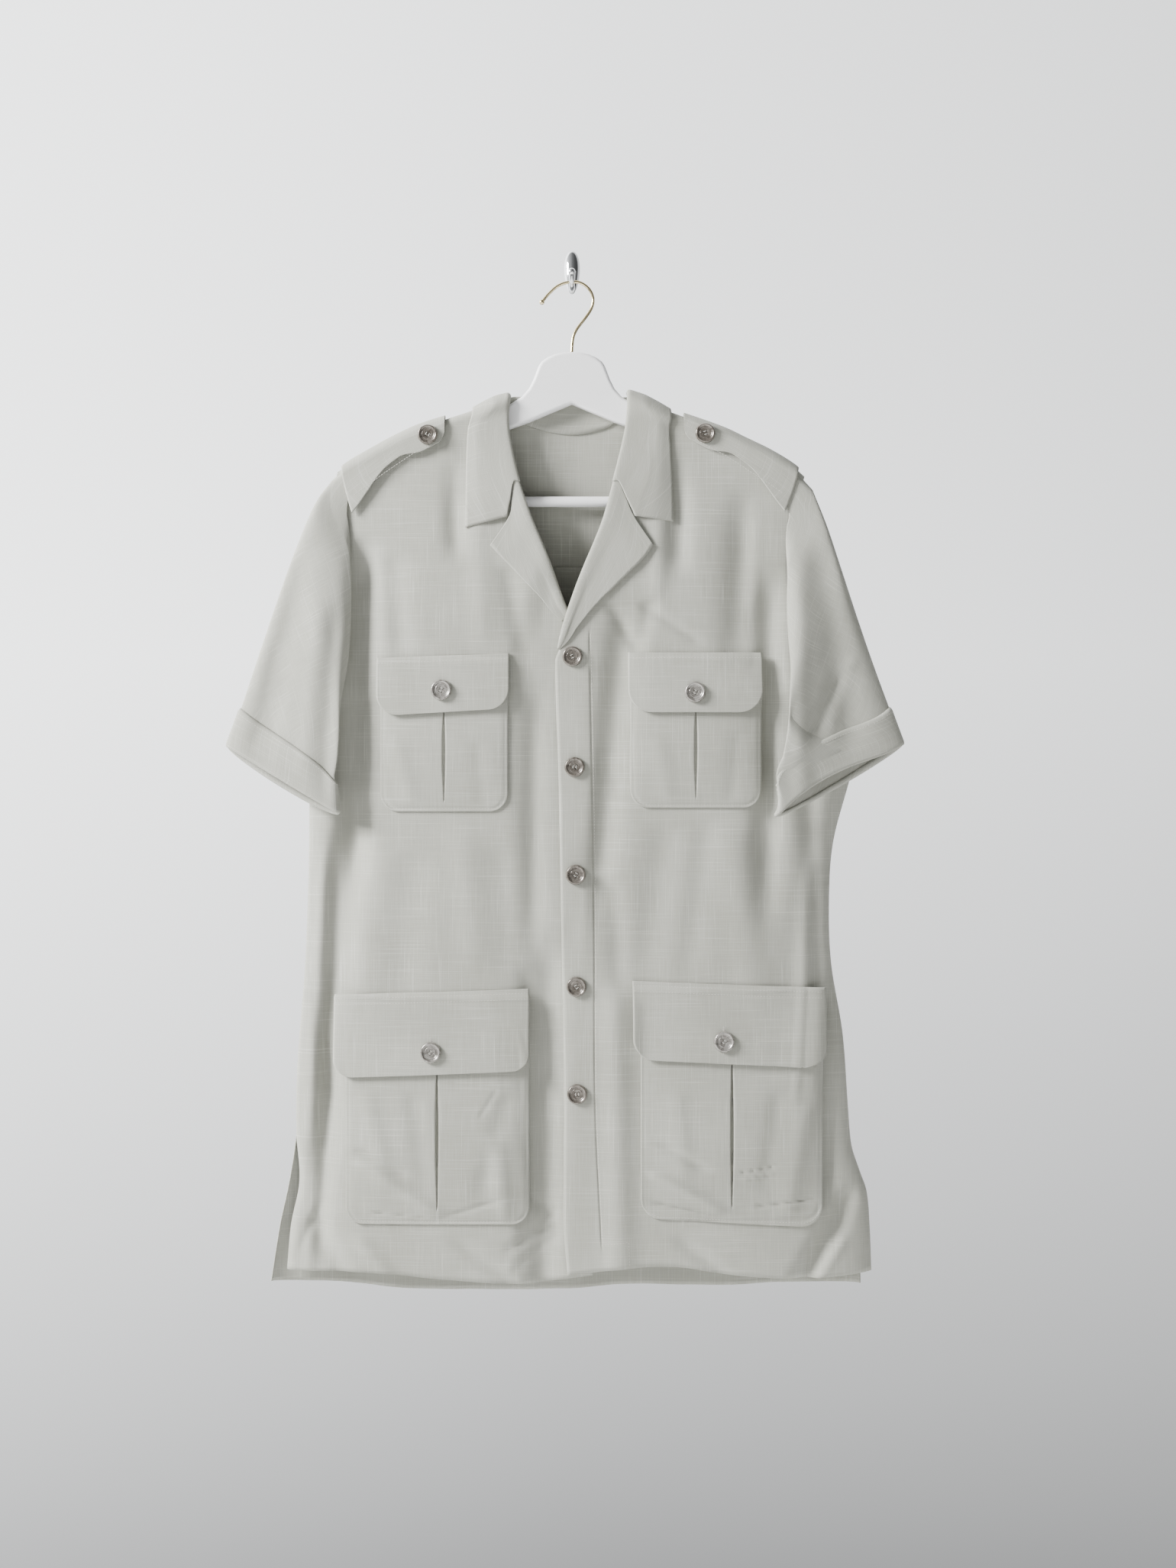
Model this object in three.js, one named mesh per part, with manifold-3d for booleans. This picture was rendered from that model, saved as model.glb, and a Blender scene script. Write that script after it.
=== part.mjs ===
// A short-sleeved safari shirt on a wooden hanger, whose wire hook rests in a small wall hook.
// Millimetres, +Z up, the front faces -Y and the wall is the plane y = 0.
// The origin is the centre of the wall hook's flat back. Inside the group, heights count from hangDrop
// below it.
import * as THREE from "three";
import { mergeVertices } from "three/addons/utils/BufferGeometryUtils.js";
import Module from "manifold-3d";

const wasm = await Module();
wasm.setup();

const hangDrop = 23; // from the origin down to the height that the tables count from
const hangerY = -34; // the plane of the hanger, halfway between front and back
const cloth = 1.2; // wall of one layer
const gap = 0.3; // left between pieces
const layer = cloth + gap; // from the middle of one layer to the middle of the next
const seam = 0.45; // half the distance between front and back where they meet

const body = {
  frontDepth: 21, // from the hanger's plane to the front, low on the shirt
  backDepth: 15,
  crestRadius: 7, // of the fold over the hanger's arms
  fullBelow: 190, // how far below the shoulder the full depth is reached
  sidePower: 4, // how square the section is
  crestOut: 222, // how far out the crest ends
  hemOut: 275, // and the front and back hems
  backHemOut: 285,
  width: 270, // of half a front, and its height, for spacing columns and rows
  height: 820,
  rowStep: 36,
  columnStep: 22,
};
const crestRows = [0, 1.6, 5, 11, 24, 46]; // distances below the crest
const crestBand = crestRows[crestRows.length - 1];
const edgeColumns = [0, 3, 11, 26, 48]; // distances in from an outer edge

const shirtColour = 0xc9c8c0;
const clothLook = { color: shirtColour, roughness: 0.85, metalness: 0 };
const buttonLook = { color: 0x6f6459, roughness: 0.3, metalness: 0.1 };
const paintLook = { color: 0xf2f2f0, roughness: 0.35, metalness: 0 };
const brassLook = { color: 0xc8b27a, roughness: 0.25, metalness: 1 };
const chromeLook = { color: 0xbfc2c6, roughness: 0.15, metalness: 1 };

// Shape tables. out is the distance from the middle line, to the left or right of the photo.
// The crest is where the cloth lies over the hanger's arm.
const crestTable = {
  left: [
    { out: 0, z: -100 }, { out: 55, z: -104.5 }, { out: 64, z: -108.5 }, { out: 100, z: -120 },
    { out: 146, z: -136 },
    { out: 171, z: -148 }, { out: 189, z: -157.5 }, { out: 212, z: -170 }, { out: 224, z: -178 },
  ],
  right: [
    { out: 0, z: -100 }, { out: 55, z: -104.5 }, { out: 64, z: -108.5 }, { out: 100, z: -121.5 },
    { out: 145, z: -138 },
    { out: 167, z: -148.5 }, { out: 190, z: -159.5 }, { out: 212, z: -172.5 }, { out: 222, z: -181 },
  ],
};
const underarm = -408;
// The outer edge of each front: hem corner, side slit, side seam, underarm and armhole.
const frontEdge = {
  left: [
    { z: -941, out: 272 }, { z: -896, out: 268 }, { z: -854, out: 260 }, { z: -805, out: 263 },
    { z: -744, out: 262 }, { z: -636, out: 254 }, { z: -496, out: 250.5 }, { z: -440, out: 254 },
    { z: underarm, out: 258 }, { z: -390, out: 247 }, { z: -365, out: 230 }, { z: -335, out: 219 },
    { z: -300, out: 214 }, { z: -245, out: 212 }, { z: -222, out: 215 }, { z: -204, out: 222 },
    { z: -178, out: 224 },
  ],
  right: [
    { z: -941, out: 286 }, { z: -900, out: 284.5 }, { z: -864, out: 281.5 }, { z: -845, out: 275 },
    { z: -820, out: 267 }, { z: -788, out: 264 }, { z: -713, out: 258.5 }, { z: -645, out: 247.5 },
    { z: -586, out: 245.5 }, { z: -530, out: 249.5 }, { z: -463, out: 267 }, { z: underarm, out: 277 },
    { z: -390, out: 257 }, { z: -365, out: 236 }, { z: -335, out: 218 }, { z: -300, out: 208 },
    { z: -260, out: 205 }, { z: -232, out: 205.5 }, { z: -212, out: 213 }, { z: -181, out: 222 },
  ],
};
const backEdge = {
  left: [
    { z: -960, out: 289 }, { z: -896, out: 279 }, { z: -854, out: 270 }, { z: -805, out: 263 },
    { z: -744, out: 262 }, { z: -636, out: 254 }, { z: -496, out: 250.5 }, { z: -440, out: 254 },
    { z: underarm, out: 258 }, { z: -390, out: 249 }, { z: -365, out: 236 }, { z: -335, out: 227 },
    { z: -300, out: 221 }, { z: -222, out: 219 }, { z: -178, out: 224 },
  ],
  right: [
    { z: -960, out: 276 }, { z: -864, out: 274 }, { z: -820, out: 267 }, { z: -788, out: 264 },
    { z: -713, out: 258.5 }, { z: -645, out: 247.5 }, { z: -586, out: 245.5 }, { z: -530, out: 249.5 },
    { z: -463, out: 267 }, { z: underarm, out: 277 }, { z: -390, out: 265 }, { z: -365, out: 246 },
    { z: -335, out: 231 }, { z: -300, out: 222 }, { z: -222, out: 214 }, { z: -181, out: 222 },
  ],
};
// The inner edge of each front: hem, front edge, first button, roll line, neck. The right front laps over.
const innerEdge = {
  left: [
    { z: -945, out: -20 }, { z: -348, out: -17 }, { z: -330, out: -8 }, { z: -313, out: 5.5 },
    { z: -260, out: 25.5 }, { z: -202, out: 48.5 }, { z: -139, out: 63 }, { z: -109, out: 63.5 },
  ],
  right: [
    { z: -941, out: -4 }, { z: -889, out: -7.5 }, { z: -781, out: -7 }, { z: -624, out: -9.5 },
    { z: -467, out: -12.5 }, { z: -358, out: -15.5 }, { z: -348, out: -12 }, { z: -313, out: -1.5 },
    { z: -276, out: 12 }, { z: -227, out: 32 }, { z: -197, out: 40 }, { z: -139, out: 54 },
    { z: -109, out: 57 },
  ],
};
const frontHem = [
  { x: -272, z: -938 }, { x: -193, z: -938 }, { x: -130, z: -944 }, { x: -58, z: -948 },
  { x: -6, z: -941 },
  { x: 56, z: -933 }, { x: 101, z: -932 }, { x: 142, z: -939 }, { x: 216, z: -944 }, { x: 286, z: -938 },
];
const backHem = [
  { x: -289, z: -950 }, { x: -224, z: -953 }, { x: -146, z: -960 }, { x: -93, z: -962 },
  { x: -6, z: -960 },
  { x: 58, z: -956 }, { x: 110, z: -957 }, { x: 276, z: -952 },
];
const yokeSeam = -266;
const neckOut = { left: 63, right: 57 };
const backNeck = [
  { x: -63, z: -108 }, { x: -58, z: -118 }, { x: -40, z: -130 }, { x: 0, z: -137.5 },
  { x: 36, z: -130 }, { x: 52, z: -118 }, { x: 57, z: -105.5 },
];

// The largest folds: a line from top to foot, how wide, and how deep a trough (a ridge where negative).
const frontFolds = [
  { x: -199, z: -228, toX: -206, toZ: -530, width: 14, depth: 9 },
  { x: -206, z: -470, toX: -236, toZ: -830, width: 15, depth: 6 },
  { x: -238, z: -520, toX: -250, toZ: -800, width: 9, depth: -3 },
  { x: -113, z: -160, toX: -110, toZ: -250, width: 10, depth: 3 },
  { x: 103, z: -150, toX: 101, toZ: -260, width: 11, depth: 3.5 },
  { x: 168, z: -178, toX: 158, toZ: -345, width: 17, depth: 4 },
  { x: 188, z: -260, toX: 184, toZ: -560, width: 13, depth: 6 },
  { x: 52, z: -290, toX: 26, toZ: -560, width: 15, depth: 5 },
  { x: -22, z: -610, toX: -26, toZ: -945, width: 14, depth: 5 },
  { x: 40, z: -640, toX: 46, toZ: -945, width: 13, depth: -3 },
  { x: 272, z: -852, toX: 218, toZ: -950, width: 12, depth: 7 },
  { x: -250, z: -880, toX: -215, toZ: -950, width: 12, depth: 4 },
];
const backFolds = [
  { x: -150, z: -200, toX: -168, toZ: -960, width: 27, depth: 6 },
  { x: 128, z: -240, toX: 152, toZ: -960, width: 30, depth: 6 },
  { x: -30, z: -300, toX: 6, toZ: -960, width: 26, depth: 5 },
  { x: 210, z: -300, toX: 222, toZ: -820, width: 17, depth: 4 },
  { x: -84, z: -420, toX: -96, toZ: -960, width: 18, depth: -3 },
];

// Each ring of a sleeve, from its outer edge (out) to the underarm (in). front and back are how far its
// layers stand from the line between. pull draws the front in towards the fold at sleeveFold, lean keeps
// that to the lower end, and drop lowers the back layer's hem.
const sleeveFold = { left: 209, right: 202 };
const sleeveRings = {
  left: [
    { outX: 229, outZ: -186, outY: -35, inX: 262, inZ: -417, inY: -40,
      front: 21, back: 13, pull: 1, lean: 0, drop: 0 },
    { outX: 244, outZ: -208, outY: -37, inX: 256, inZ: -428, inY: -44,
      front: 22, back: 14, pull: 1, lean: 0.3, drop: 0 },
    { outX: 262, outZ: -252, outY: -39, inX: 249, inZ: -441, inY: -50,
      front: 20, back: 13, pull: 1, lean: 0.7, drop: 0 },
    { outX: 280, outZ: -303, outY: -41, inX: 241, inZ: -453, inY: -55,
      front: 17, back: 11, pull: 1, lean: 1.1, drop: 0 },
    { outX: 297.5, outZ: -355, outY: -43, inX: 233, inZ: -465, inY: -58,
      front: 14, back: 9, pull: 0.9, lean: 1.5, drop: 1 },
    { outX: 313.5, outZ: -403, outY: -44, inX: 224, inZ: -474, inY: -60,
      front: 11, back: 7, pull: 0.5, lean: 2, drop: 4 },
    { outX: 326, outZ: -438, outY: -45, inX: 220, inZ: -501, inY: -61,
      front: 10, back: 6, pull: 0, lean: 1, drop: 8 },
  ],
  right: [
    { outX: 229, outZ: -194, outY: -35, inX: 284, inZ: -419, inY: -42,
      front: 24, back: 13, pull: 1, lean: 0, drop: 0 },
    { outX: 242, outZ: -228, outY: -37, inX: 277, inZ: -430, inY: -47,
      front: 25, back: 12, pull: 1, lean: 0.3, drop: 0 },
    { outX: 255, outZ: -268, outY: -39, inX: 268, inZ: -442, inY: -56,
      front: 20, back: 5, pull: 1, lean: 0.7, drop: 0 },
    { outX: 270, outZ: -314, outY: -41, inX: 250, inZ: -454, inY: -60,
      front: 16, back: 3, pull: 1, lean: 1.1, drop: 0 },
    { outX: 286, outZ: -361, outY: -43, inX: 233, inZ: -466, inY: -62,
      front: 13, back: 6, pull: 0.9, lean: 1.5, drop: 1 },
    { outX: 301, outZ: -402, outY: -44, inX: 214, inZ: -478, inY: -63,
      front: 11, back: 7, pull: 0.5, lean: 2, drop: 3 },
    { outX: 313.5, outZ: -436, outY: -45, inX: 193, inZ: -504, inY: -64,
      front: 10, back: 6, pull: 0, lean: 1, drop: 6 },
  ],
};
const sleeveColumns = 24;
const cuff = { from: 5, proud: 1.2 };

// Sections of the collar's front, from its end up to the crest. roll is the crease, and the fall runs over
// mid to edge. X is a distance out, Z a height, and W counts down over the cloth from the crest.
const collarTable = {
  left: [
    { rollZ: -187.5, midX: 61, midW: 118, edgeX: 101, edgeW: 115 },
    { rollZ: -164, midX: 79, midW: 72, edgeX: 100.5, edgeW: 78 },
    { rollZ: -142, midX: 80, midW: 40, edgeX: 100, edgeW: 44 },
    { rollZ: -126, midX: 80, midW: 20, edgeX: 98.5, edgeW: 21 },
  ],
  right: [
    { rollZ: -187.5, midX: 60, midW: 118, edgeX: 97, edgeW: 109 },
    { rollZ: -164, midX: 73, midW: 72, edgeX: 95.5, edgeW: 74 },
    { rollZ: -142, midX: 73, midW: 40, edgeX: 94, edgeW: 41 },
    { rollZ: -126, midX: 74, midW: 20, edgeX: 93, edgeW: 21 },
  ],
};
// Its sections over the crest and round the back: where the stand's foot is, how the crease lies from the
// foot, how the fall leaves the crease, and where the edge is. in is a distance inside the neck's end.
const collarCrest = [
  { footW: 9, rise: [-2.5, -2, 2], over: [1, -2.2, 1.2], edgeX: 95, edgeW: 10 },
  { footW: 2, rise: [-2.6, -0.8, 4], over: [1.6, -1.6, 1.6], edgeX: 94, edgeW: 2 },
  { footW: -5, rise: [-2.8, 1, 6.5], over: [2, 1, 1.6], edgeX: 92.5, edgeW: -6 },
];
const collarNape = [
  { in: 3, rise: [-2.5, 1.5, 11], over: [1.6, 2.6, 0.5], edgeX: 90, edgeW: -15 },
  { in: 9, rise: [-1.5, 2, 19], over: [1.5, 3.4, -0.5], edgeX: 81, edgeW: -31 },
  { in: 27, rise: [0.5, 2.5, 29], over: [0.5, 4, -1.5], edgeX: 50, edgeW: -53 },
  { in: 0, rise: [0, 2.8, 35], over: [0, 4, -2], edgeX: 0, edgeW: -59 },
];

// Rows of a lapel from the gorge down: where each leaves the roll, a place on the way, and its outer end.
const lapelTable = {
  left: [
    { rollZ: -194, midX: 57, midZ: -226, tipX: 77.3, tipZ: -250 },
    { rollZ: -222, midX: 54, midZ: -246, tipX: 67, tipZ: -260 },
    { rollZ: -246, midX: 44, midZ: -260, tipX: 53, tipZ: -271.5 },
    { rollZ: -268, midX: 32, midZ: -278, tipX: 39, tipZ: -283.5 },
    { rollZ: -292, midX: 19.5, midZ: -296.5, tipX: 23, tipZ: -300 },
  ],
  right: [
    { rollZ: -194, midX: 56.5, midZ: -226, tipX: 77.8, tipZ: -250 },
    { rollZ: -222, midX: 53, midZ: -246, tipX: 68, tipZ: -261.5 },
    { rollZ: -246, midX: 41, midZ: -262, tipX: 54, tipZ: -275 },
    { rollZ: -268, midX: 29, midZ: -279, tipX: 40, tipZ: -288.5 },
    { rollZ: -292, midX: 15, midZ: -299, tipX: 23, tipZ: -305 },
    { rollZ: -322, midX: 2.5, midZ: -325, tipX: 6, tipZ: -327 },
    { rollZ: -337, midX: -3, midZ: -339, tipX: 0, tipZ: -341 },
  ],
};

const pockets = [
  { name: "chest_pocket_left", side: "left", x: -120.5, top: -366, foot: -500.5, half: 60.5,
    round: 17, sag: 2, skew: 0 },
  { name: "chest_pocket_right", side: "right", x: 117.5, top: -362, foot: -497, half: 62,
    round: 17, sag: 2, skew: 0 },
  { name: "lower_pocket_left", side: "left", x: -127, top: -684, foot: -891, half: 87,
    round: 16, sag: 5, skew: 0 },
  { name: "lower_pocket_right", side: "right", x: 151.5, top: -677, foot: -890, half: 86.5,
    round: 20, sag: 6, skew: -8 },
];
const flaps = [
  { name: "chest_flap_left", side: "left", x: -121.5, top: -353.5, foot: -407, half: 62.5,
    round: 20, skew: 5, pocket: 0, button: [-122.8, -386] },
  { name: "chest_flap_right", side: "right", x: 117, top: -350.5, foot: -407, half: 63,
    round: 22, skew: 0, pocket: 1, button: [116.4, -388] },
  { name: "lower_flap_left", side: "left", x: -132, top: -671.5, foot: -749, half: 91.5,
    round: 16, skew: 6, pocket: 2, button: [-132.7, -728] },
  { name: "lower_flap_right", side: "right", x: 148.5, top: -664.5, foot: -739, half: 91,
    round: 20, skew: -7, pocket: 3, button: [143.7, -718] },
];
const frontButtons = [[0.7, -354], [2.8, -458.6], [3.8, -560.5], [4.7, -666.4], [5.3, -768]];
const button = { radius: 9.6, flapRadius: 10, height: 3.6, rim: 1.7, sides: 12 };
const epaulettes = {
  left: { inner: 121, outer: 220, slant: 11, halfInner: 17, halfOuter: 25, button: 137,
  buttonW: 14, lift: 2 },
  right: { inner: 107, outer: 217, slant: 14, halfInner: 17, halfOuter: 25, button: 127,
  buttonW: 14, lift: 1 },
};

const clamp = (t, low, high) => Math.min(Math.max(t, low), high);
const mix = (a, b, t) => a + (b - a) * t;
const smooth = (t) => {
  const c = clamp(t, 0, 1);
  return c * c * (3 - 2 * c);
};

// A smooth curve through a table's rows: the value of one column at a place in another, which rises or
// falls.
function along(table, key, value, at) {
  const rows = table[0][key] < table[table.length - 1][key] ? table : [...table].reverse();
  const last = rows.length - 1;
  const place = clamp(at, rows[0][key], rows[last][key]);
  let i = 0;
  while (i < last - 1 && place > rows[i + 1][key]) i++;
  const slope = (k) => {
    const a = rows[Math.max(k - 1, 0)];
    const b = rows[Math.min(k + 1, last)];
    return (b[value] - a[value]) / (b[key] - a[key]);
  };
  const span = rows[i + 1][key] - rows[i][key];
  const t = (place - rows[i][key]) / span;
  const a = rows[i][value];
  const b = rows[i + 1][value];
  const h = t * t * (3 - 2 * t);
  return mix(a, b, h) + span * t * (1 - t) * ((1 - t) * slope(i) - t * slope(i + 1));
}

const signOf = { left: -1, right: 1 };
const sideOf = (x) => (x < 0 ? "left" : "right");
const crestZ = (x) => along(crestTable[sideOf(x)], "out", "z", Math.abs(x));

// What the folds add to the depth at a place.
function foldDepth(folds, x, z) {
  let sum = 0;
  for (const f of folds) {
    const t = (z - f.z) / (f.toZ - f.z);
    if (t <= 0 || t >= 1.25) continue;
    const middle = mix(f.x, f.toX, Math.min(t, 1));
    const ends = smooth(t / 0.2) * smooth((1.25 - t) / 0.35);
    sum += f.depth * ends * Math.exp(-(((x - middle) / f.width) ** 2));
  }
  return sum;
}

// The distance of the front (or back) from the hanger's plane at a place on it.
function halfDepth(x, z, edges, full) {
  const side = sideOf(x);
  const below = Math.max(crestZ(x) - z, 0);
  const r = body.crestRadius;
  const round = below < r ? Math.sqrt(r * r - (r - below) ** 2) : r;
  const cap = below < r ? round : r + (full - r) * smooth((below - r) / body.fullBelow);
  const out = along(edges[side], "z", "out", z);
  const s = clamp(Math.abs(x) / out, 0, 1);
  const armhole = smooth((z - underarm) / 25) * 11;
  const edge = Math.min(armhole, cap);
  return seam + edge + (cap - edge) * Math.sqrt(1 - s ** body.sidePower);
}

function frontY(x, z) {
  const depth = halfDepth(x, z, frontEdge, body.frontDepth);
  const room = smooth((depth - 6) / 8);
  return hangerY - depth + room * foldDepth(frontFolds, x, z);
}
function backY(x, z) {
  const depth = halfDepth(x, z, backEdge, body.backDepth);
  const room = smooth((depth - 6) / 8);
  return hangerY + depth - room * foldDepth(backFolds, x, z);
}

// A place on the front by x and z, moved out by a distance square to the cloth. What lies on the front
// bridges its troughs over a reach, so it follows the outermost cloth within that reach.
const bridge = { across: 12, down: 16 };
function bridgedY(x, z) {
  let y = frontY(x, z);
  for (const a of [-1, -0.5, 0.5, 1]) y = Math.min(y, frontY(x + a * bridge.across, z));
  for (const b of [-1, 1]) y = Math.min(y, frontY(x, z + b * bridge.down) + 0.3);
  return y;
}
function onFront(x, z, out = 0) {
  const d = 4;
  const sx = (bridgedY(x + d, z) - bridgedY(x - d, z)) / (2 * d);
  const sz = (bridgedY(x, z + d) - bridgedY(x, z - d)) / (2 * d);
  const n = new THREE.Vector3(sx, -1, sz).normalize();
  return new THREE.Vector3(x, bridgedY(x, z), z).addScaledVector(n, out);
}

// A place near the crest: w is the way down over the cloth, on the front above 0 and on the back below 0.
function overCrest(x, w, out) {
  const r = body.crestRadius;
  const quarter = (r * Math.PI) / 2;
  const far = Math.abs(w);
  const turn = far < quarter ? far / r : Math.PI / 2;
  const below = far < quarter ? r * (1 - Math.cos(turn)) : r + far - quarter;
  const z = crestZ(x) - below;
  const y = w > 0 ? frontY(x, z) : backY(x, z);
  const towards = w > 0 ? -1 : 1;
  return new THREE.Vector3(x, y + towards * out * Math.sin(turn), z + out * Math.cos(turn));
}

// A closed wall on both sides of a grid of middle points. round joins the last column to the first.
function wall(grid, thickness = cloth, round = false) {
  const rows = grid.length;
  const columns = grid[0].length;
  const wrap = (j) => (round ? (j + columns) % columns : clamp(j, 0, columns - 1));
  const points = [];
  const normals = grid.map((row, i) =>
    row.map((_, j) => {
      const up = grid[Math.min(i + 1, rows - 1)][j].clone().sub(grid[Math.max(i - 1, 0)][j]);
      const across = row[wrap(j + 1)].clone().sub(row[wrap(j - 1)]);
      return up.cross(across).normalize();
    }),
  );
  for (const half of [0.5, -0.5]) {
    grid.forEach((row, i) =>
      row.forEach((p, j) => points.push(p.clone().addScaledVector(normals[i][j], half * thickness))),
    );
  }
  const at = (skin, i, j) => skin * rows * columns + i * columns + wrap(j);
  const index = [];
  const quad = (a, b, c, d) => index.push(a, b, c, a, c, d);
  const spans = round ? columns : columns - 1;
  for (let i = 0; i < rows - 1; i++) {
    for (let j = 0; j < spans; j++) {
      quad(at(0, i, j), at(0, i + 1, j), at(0, i + 1, j + 1), at(0, i, j + 1));
      quad(at(1, i, j), at(1, i, j + 1), at(1, i + 1, j + 1), at(1, i + 1, j));
    }
  }
  for (let j = 0; j < spans; j++) {
    quad(at(0, 0, j), at(0, 0, j + 1), at(1, 0, j + 1), at(1, 0, j));
    quad(at(0, rows - 1, j), at(1, rows - 1, j), at(1, rows - 1, j + 1), at(0, rows - 1, j + 1));
  }
  for (let i = 0; i < rows - 1 && !round; i++) {
    quad(at(0, i, 0), at(1, i, 0), at(1, i + 1, 0), at(0, i + 1, 0));
    const j = columns - 1;
    quad(at(0, i, j), at(0, i + 1, j), at(1, i + 1, j), at(1, i, j));
  }
  return faced(points, index);
}

// A geometry from points and triangles, turned so that its faces point out.
function faced(points, index) {
  let volume = 0;
  for (let k = 0; k < index.length; k += 3) {
    const [a, b, c] = [points[index[k]], points[index[k + 1]], points[index[k + 2]]];
    volume += a.dot(b.clone().cross(c));
  }
  if (volume < 0) {
    for (let k = 0; k < index.length; k += 3) [index[k + 1], index[k + 2]] = [index[k + 2], index[k + 1]];
  }
  const geometry = new THREE.BufferGeometry().setFromPoints(points);
  geometry.setIndex(index);
  return geometry;
}

const shirt = new THREE.Group();
shirt.position.z = -hangDrop;

function add(name, geometry, look) {
  const flat = geometry.index ? geometry.toNonIndexed() : geometry;
  flat.deleteAttribute("normal");
  flat.deleteAttribute("uv");
  flat.computeVertexNormals();
  const mesh = new THREE.Mesh(flat, new THREE.MeshStandardMaterial(look));
  mesh.name = name;
  shirt.add(mesh);
  return mesh;
}

// Column places from an inner edge to an outer one: close together at the outer edge, even elsewhere.
function columnPlaces(inner, outer, step) {
  const edge = edgeColumns.filter((d) => d < (outer - inner) * 0.6).map((d) => outer - d);
  const start = edge[edge.length - 1];
  const count = Math.max(Math.round((start - inner) / step), 1);
  const even = [];
  for (let k = 0; k < count; k++) even.push(mix(inner, start, k / count));
  return [...even, ...edge.reverse()];
}

// Distances below the crest for the rows of a panel that is this tall.
function rowDrops(height) {
  const count = Math.round((height - crestBand) / body.rowStep);
  const rows = [...crestRows];
  for (let k = 1; k <= count; k++) rows.push(mix(crestBand, height, k / count));
  return rows;
}

// A front: its rows hang from the crest, and its columns run from the inner edge to the outer one.
function frontPanel(side) {
  const sign = signOf[side];
  const shares = columnPlaces(0, body.width, body.columnStep).map((p) => p / body.width);
  const grid = rowDrops(body.height).map((drop) =>
    shares.map((share) => {
      const top = crestZ(sign * mix(neckOut[side], body.crestOut, share));
      const hem = along(frontHem, "x", "z", sign * share * body.hemOut);
      const hung = (drop - crestBand) / (body.height - crestBand);
      const z = hung < 0 ? top - drop : mix(top - crestBand, hem, hung);
      const inner = along(innerEdge[side], "z", "out", z);
      const outer = along(frontEdge[side], "z", "out", z);
      const x = sign * mix(inner, outer, share);
      return new THREE.Vector3(x, underLap(side, x, z), z);
    }),
  );
  return wall(grid);
}

// The left front lies one layer deeper where the right front laps over it.
function underLap(side, x, z) {
  if (side === "right") return frontY(x, z);
  const edge = along(innerEdge.right, "z", "out", z);
  return frontY(x, z) + layer * 2 * smooth((x - edge + 50) / 28) * smooth((-z - 250) / 30);
}
add("front_left", frontPanel("left"), clothLook);
add("front_right", frontPanel("right"), clothLook);

// The back hangs in one piece from the yoke's seam to the hem; the yoke runs up to the neck and the crest.
function backPanel(from, to) {
  const places = (side) => {
    const neck = neckOut[side];
    const inner = [0, 0.35, 0.65, 0.86, 0.95].map((t) => t * neck);
    return [...inner, ...columnPlaces(neck, body.crestOut, 28)].map((out) => ({ side, out }));
  };
  const columns = [...places("left").slice(1).reverse(), ...places("right")];
  const grid = from.map((t) =>
    columns.map(({ side, out }) => {
      const sign = signOf[side];
      const share = out / body.crestOut;
      const top = out < neckOut[side] ? along(backNeck, "x", "z", sign * out) : crestZ(sign * out);
      const hem = along(backHem, "x", "z", sign * share * body.backHemOut);
      const low = to === "hem" ? hem : yokeSeam + gap / 2;
      const high = to === "hem" ? yokeSeam - gap / 2 : top;
      const z = mix(high, low, t);
      const x = sign * share * along(backEdge[side], "z", "out", z);
      return new THREE.Vector3(x, backY(x, z), z);
    }),
  );
  return wall(grid);
}
const evenRows = (count) => Array.from({ length: count + 1 }, (_, k) => k / count);
add("back_yoke", backPanel([0, 0.012, 0.04, 0.1, 0.25, 0.55, 1], "yoke"), clothLook);
add("back", backPanel(evenRows(18), "hem"), clothLook);

// The ring where a sleeve is sewn on: down over the front armhole from the crest and up over the back one.
function armholeRing(side) {
  const sign = signOf[side];
  const top = crestTable[side][8];
  const off = layer + 1.1;
  return Array.from({ length: sleeveColumns }, (_, k) => {
    const turn = (k / sleeveColumns) * 2 * Math.PI;
    const share = (1 - Math.cos(turn)) / 2;
    const z = mix(top.z, underarm, share);
    const front = turn < Math.PI;
    const edge = along((front ? frontEdge : backEdge)[side], "z", "out", z);
    const fuller = sign * (edge - 10 * share);
    const y = front ? frontY(fuller, z) : backY(fuller, z);
    if (k === 0) return new THREE.Vector3(sign * (edge + 2), hangerY, z + off);
    if (2 * k === sleeveColumns) return new THREE.Vector3(sign * (edge + off), hangerY, z - off);
    const turnedUp = off * Math.max(Math.cos(turn), 0) * 0.6;
    return new THREE.Vector3(sign * (edge + 1 + 2 * share), y + (front ? -off : off), z + turnedUp);
  });
}

// A ring of the sleeve by its place in the table, whole numbers or between them.
function sleeveRing(side, row) {
  const sign = signOf[side];
  const table = sleeveRings[side].map((r, k) => ({ ...r, k }));
  const get = (value) => along(table, "k", value, row);
  return Array.from({ length: sleeveColumns }, (_, k) => {
    const turn = (k / sleeveColumns) * 2 * Math.PI;
    const share = (1 - Math.cos(turn)) / 2;
    const sine = Math.sin(turn);
    const front = sine > 0;
    const fold = Math.sqrt(Math.abs(sine)) * smooth((share - 0.05) / 0.15);
    const pull = front ? get("pull") * fold * share ** get("lean") : 0;
    const out = mix(mix(get("outX"), get("inX"), share), sleeveFold[side], pull);
    const stand = front ? -get("front") : get("back") * Math.sqrt(Math.max(1 - share, 0)) * 1.2;
    const y = mix(get("outY"), get("inY"), share) + stand * Math.abs(sine) ** (front ? 0.35 : 0.8);
    const z = mix(get("outZ"), get("inZ"), share) - (front ? 0 : -sine * get("drop"));
    return new THREE.Vector3(sign * out, y, z);
  });
}

function sleeve(side) {
  const rings = [armholeRing(side)];
  for (let k = 0; k < sleeveRings[side].length; k++) rings.push(sleeveRing(side, k));
  return wall(rings, cloth, true);
}
add("sleeve_left", sleeve("left"), clothLook);
add("sleeve_right", sleeve("right"), clothLook);

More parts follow.
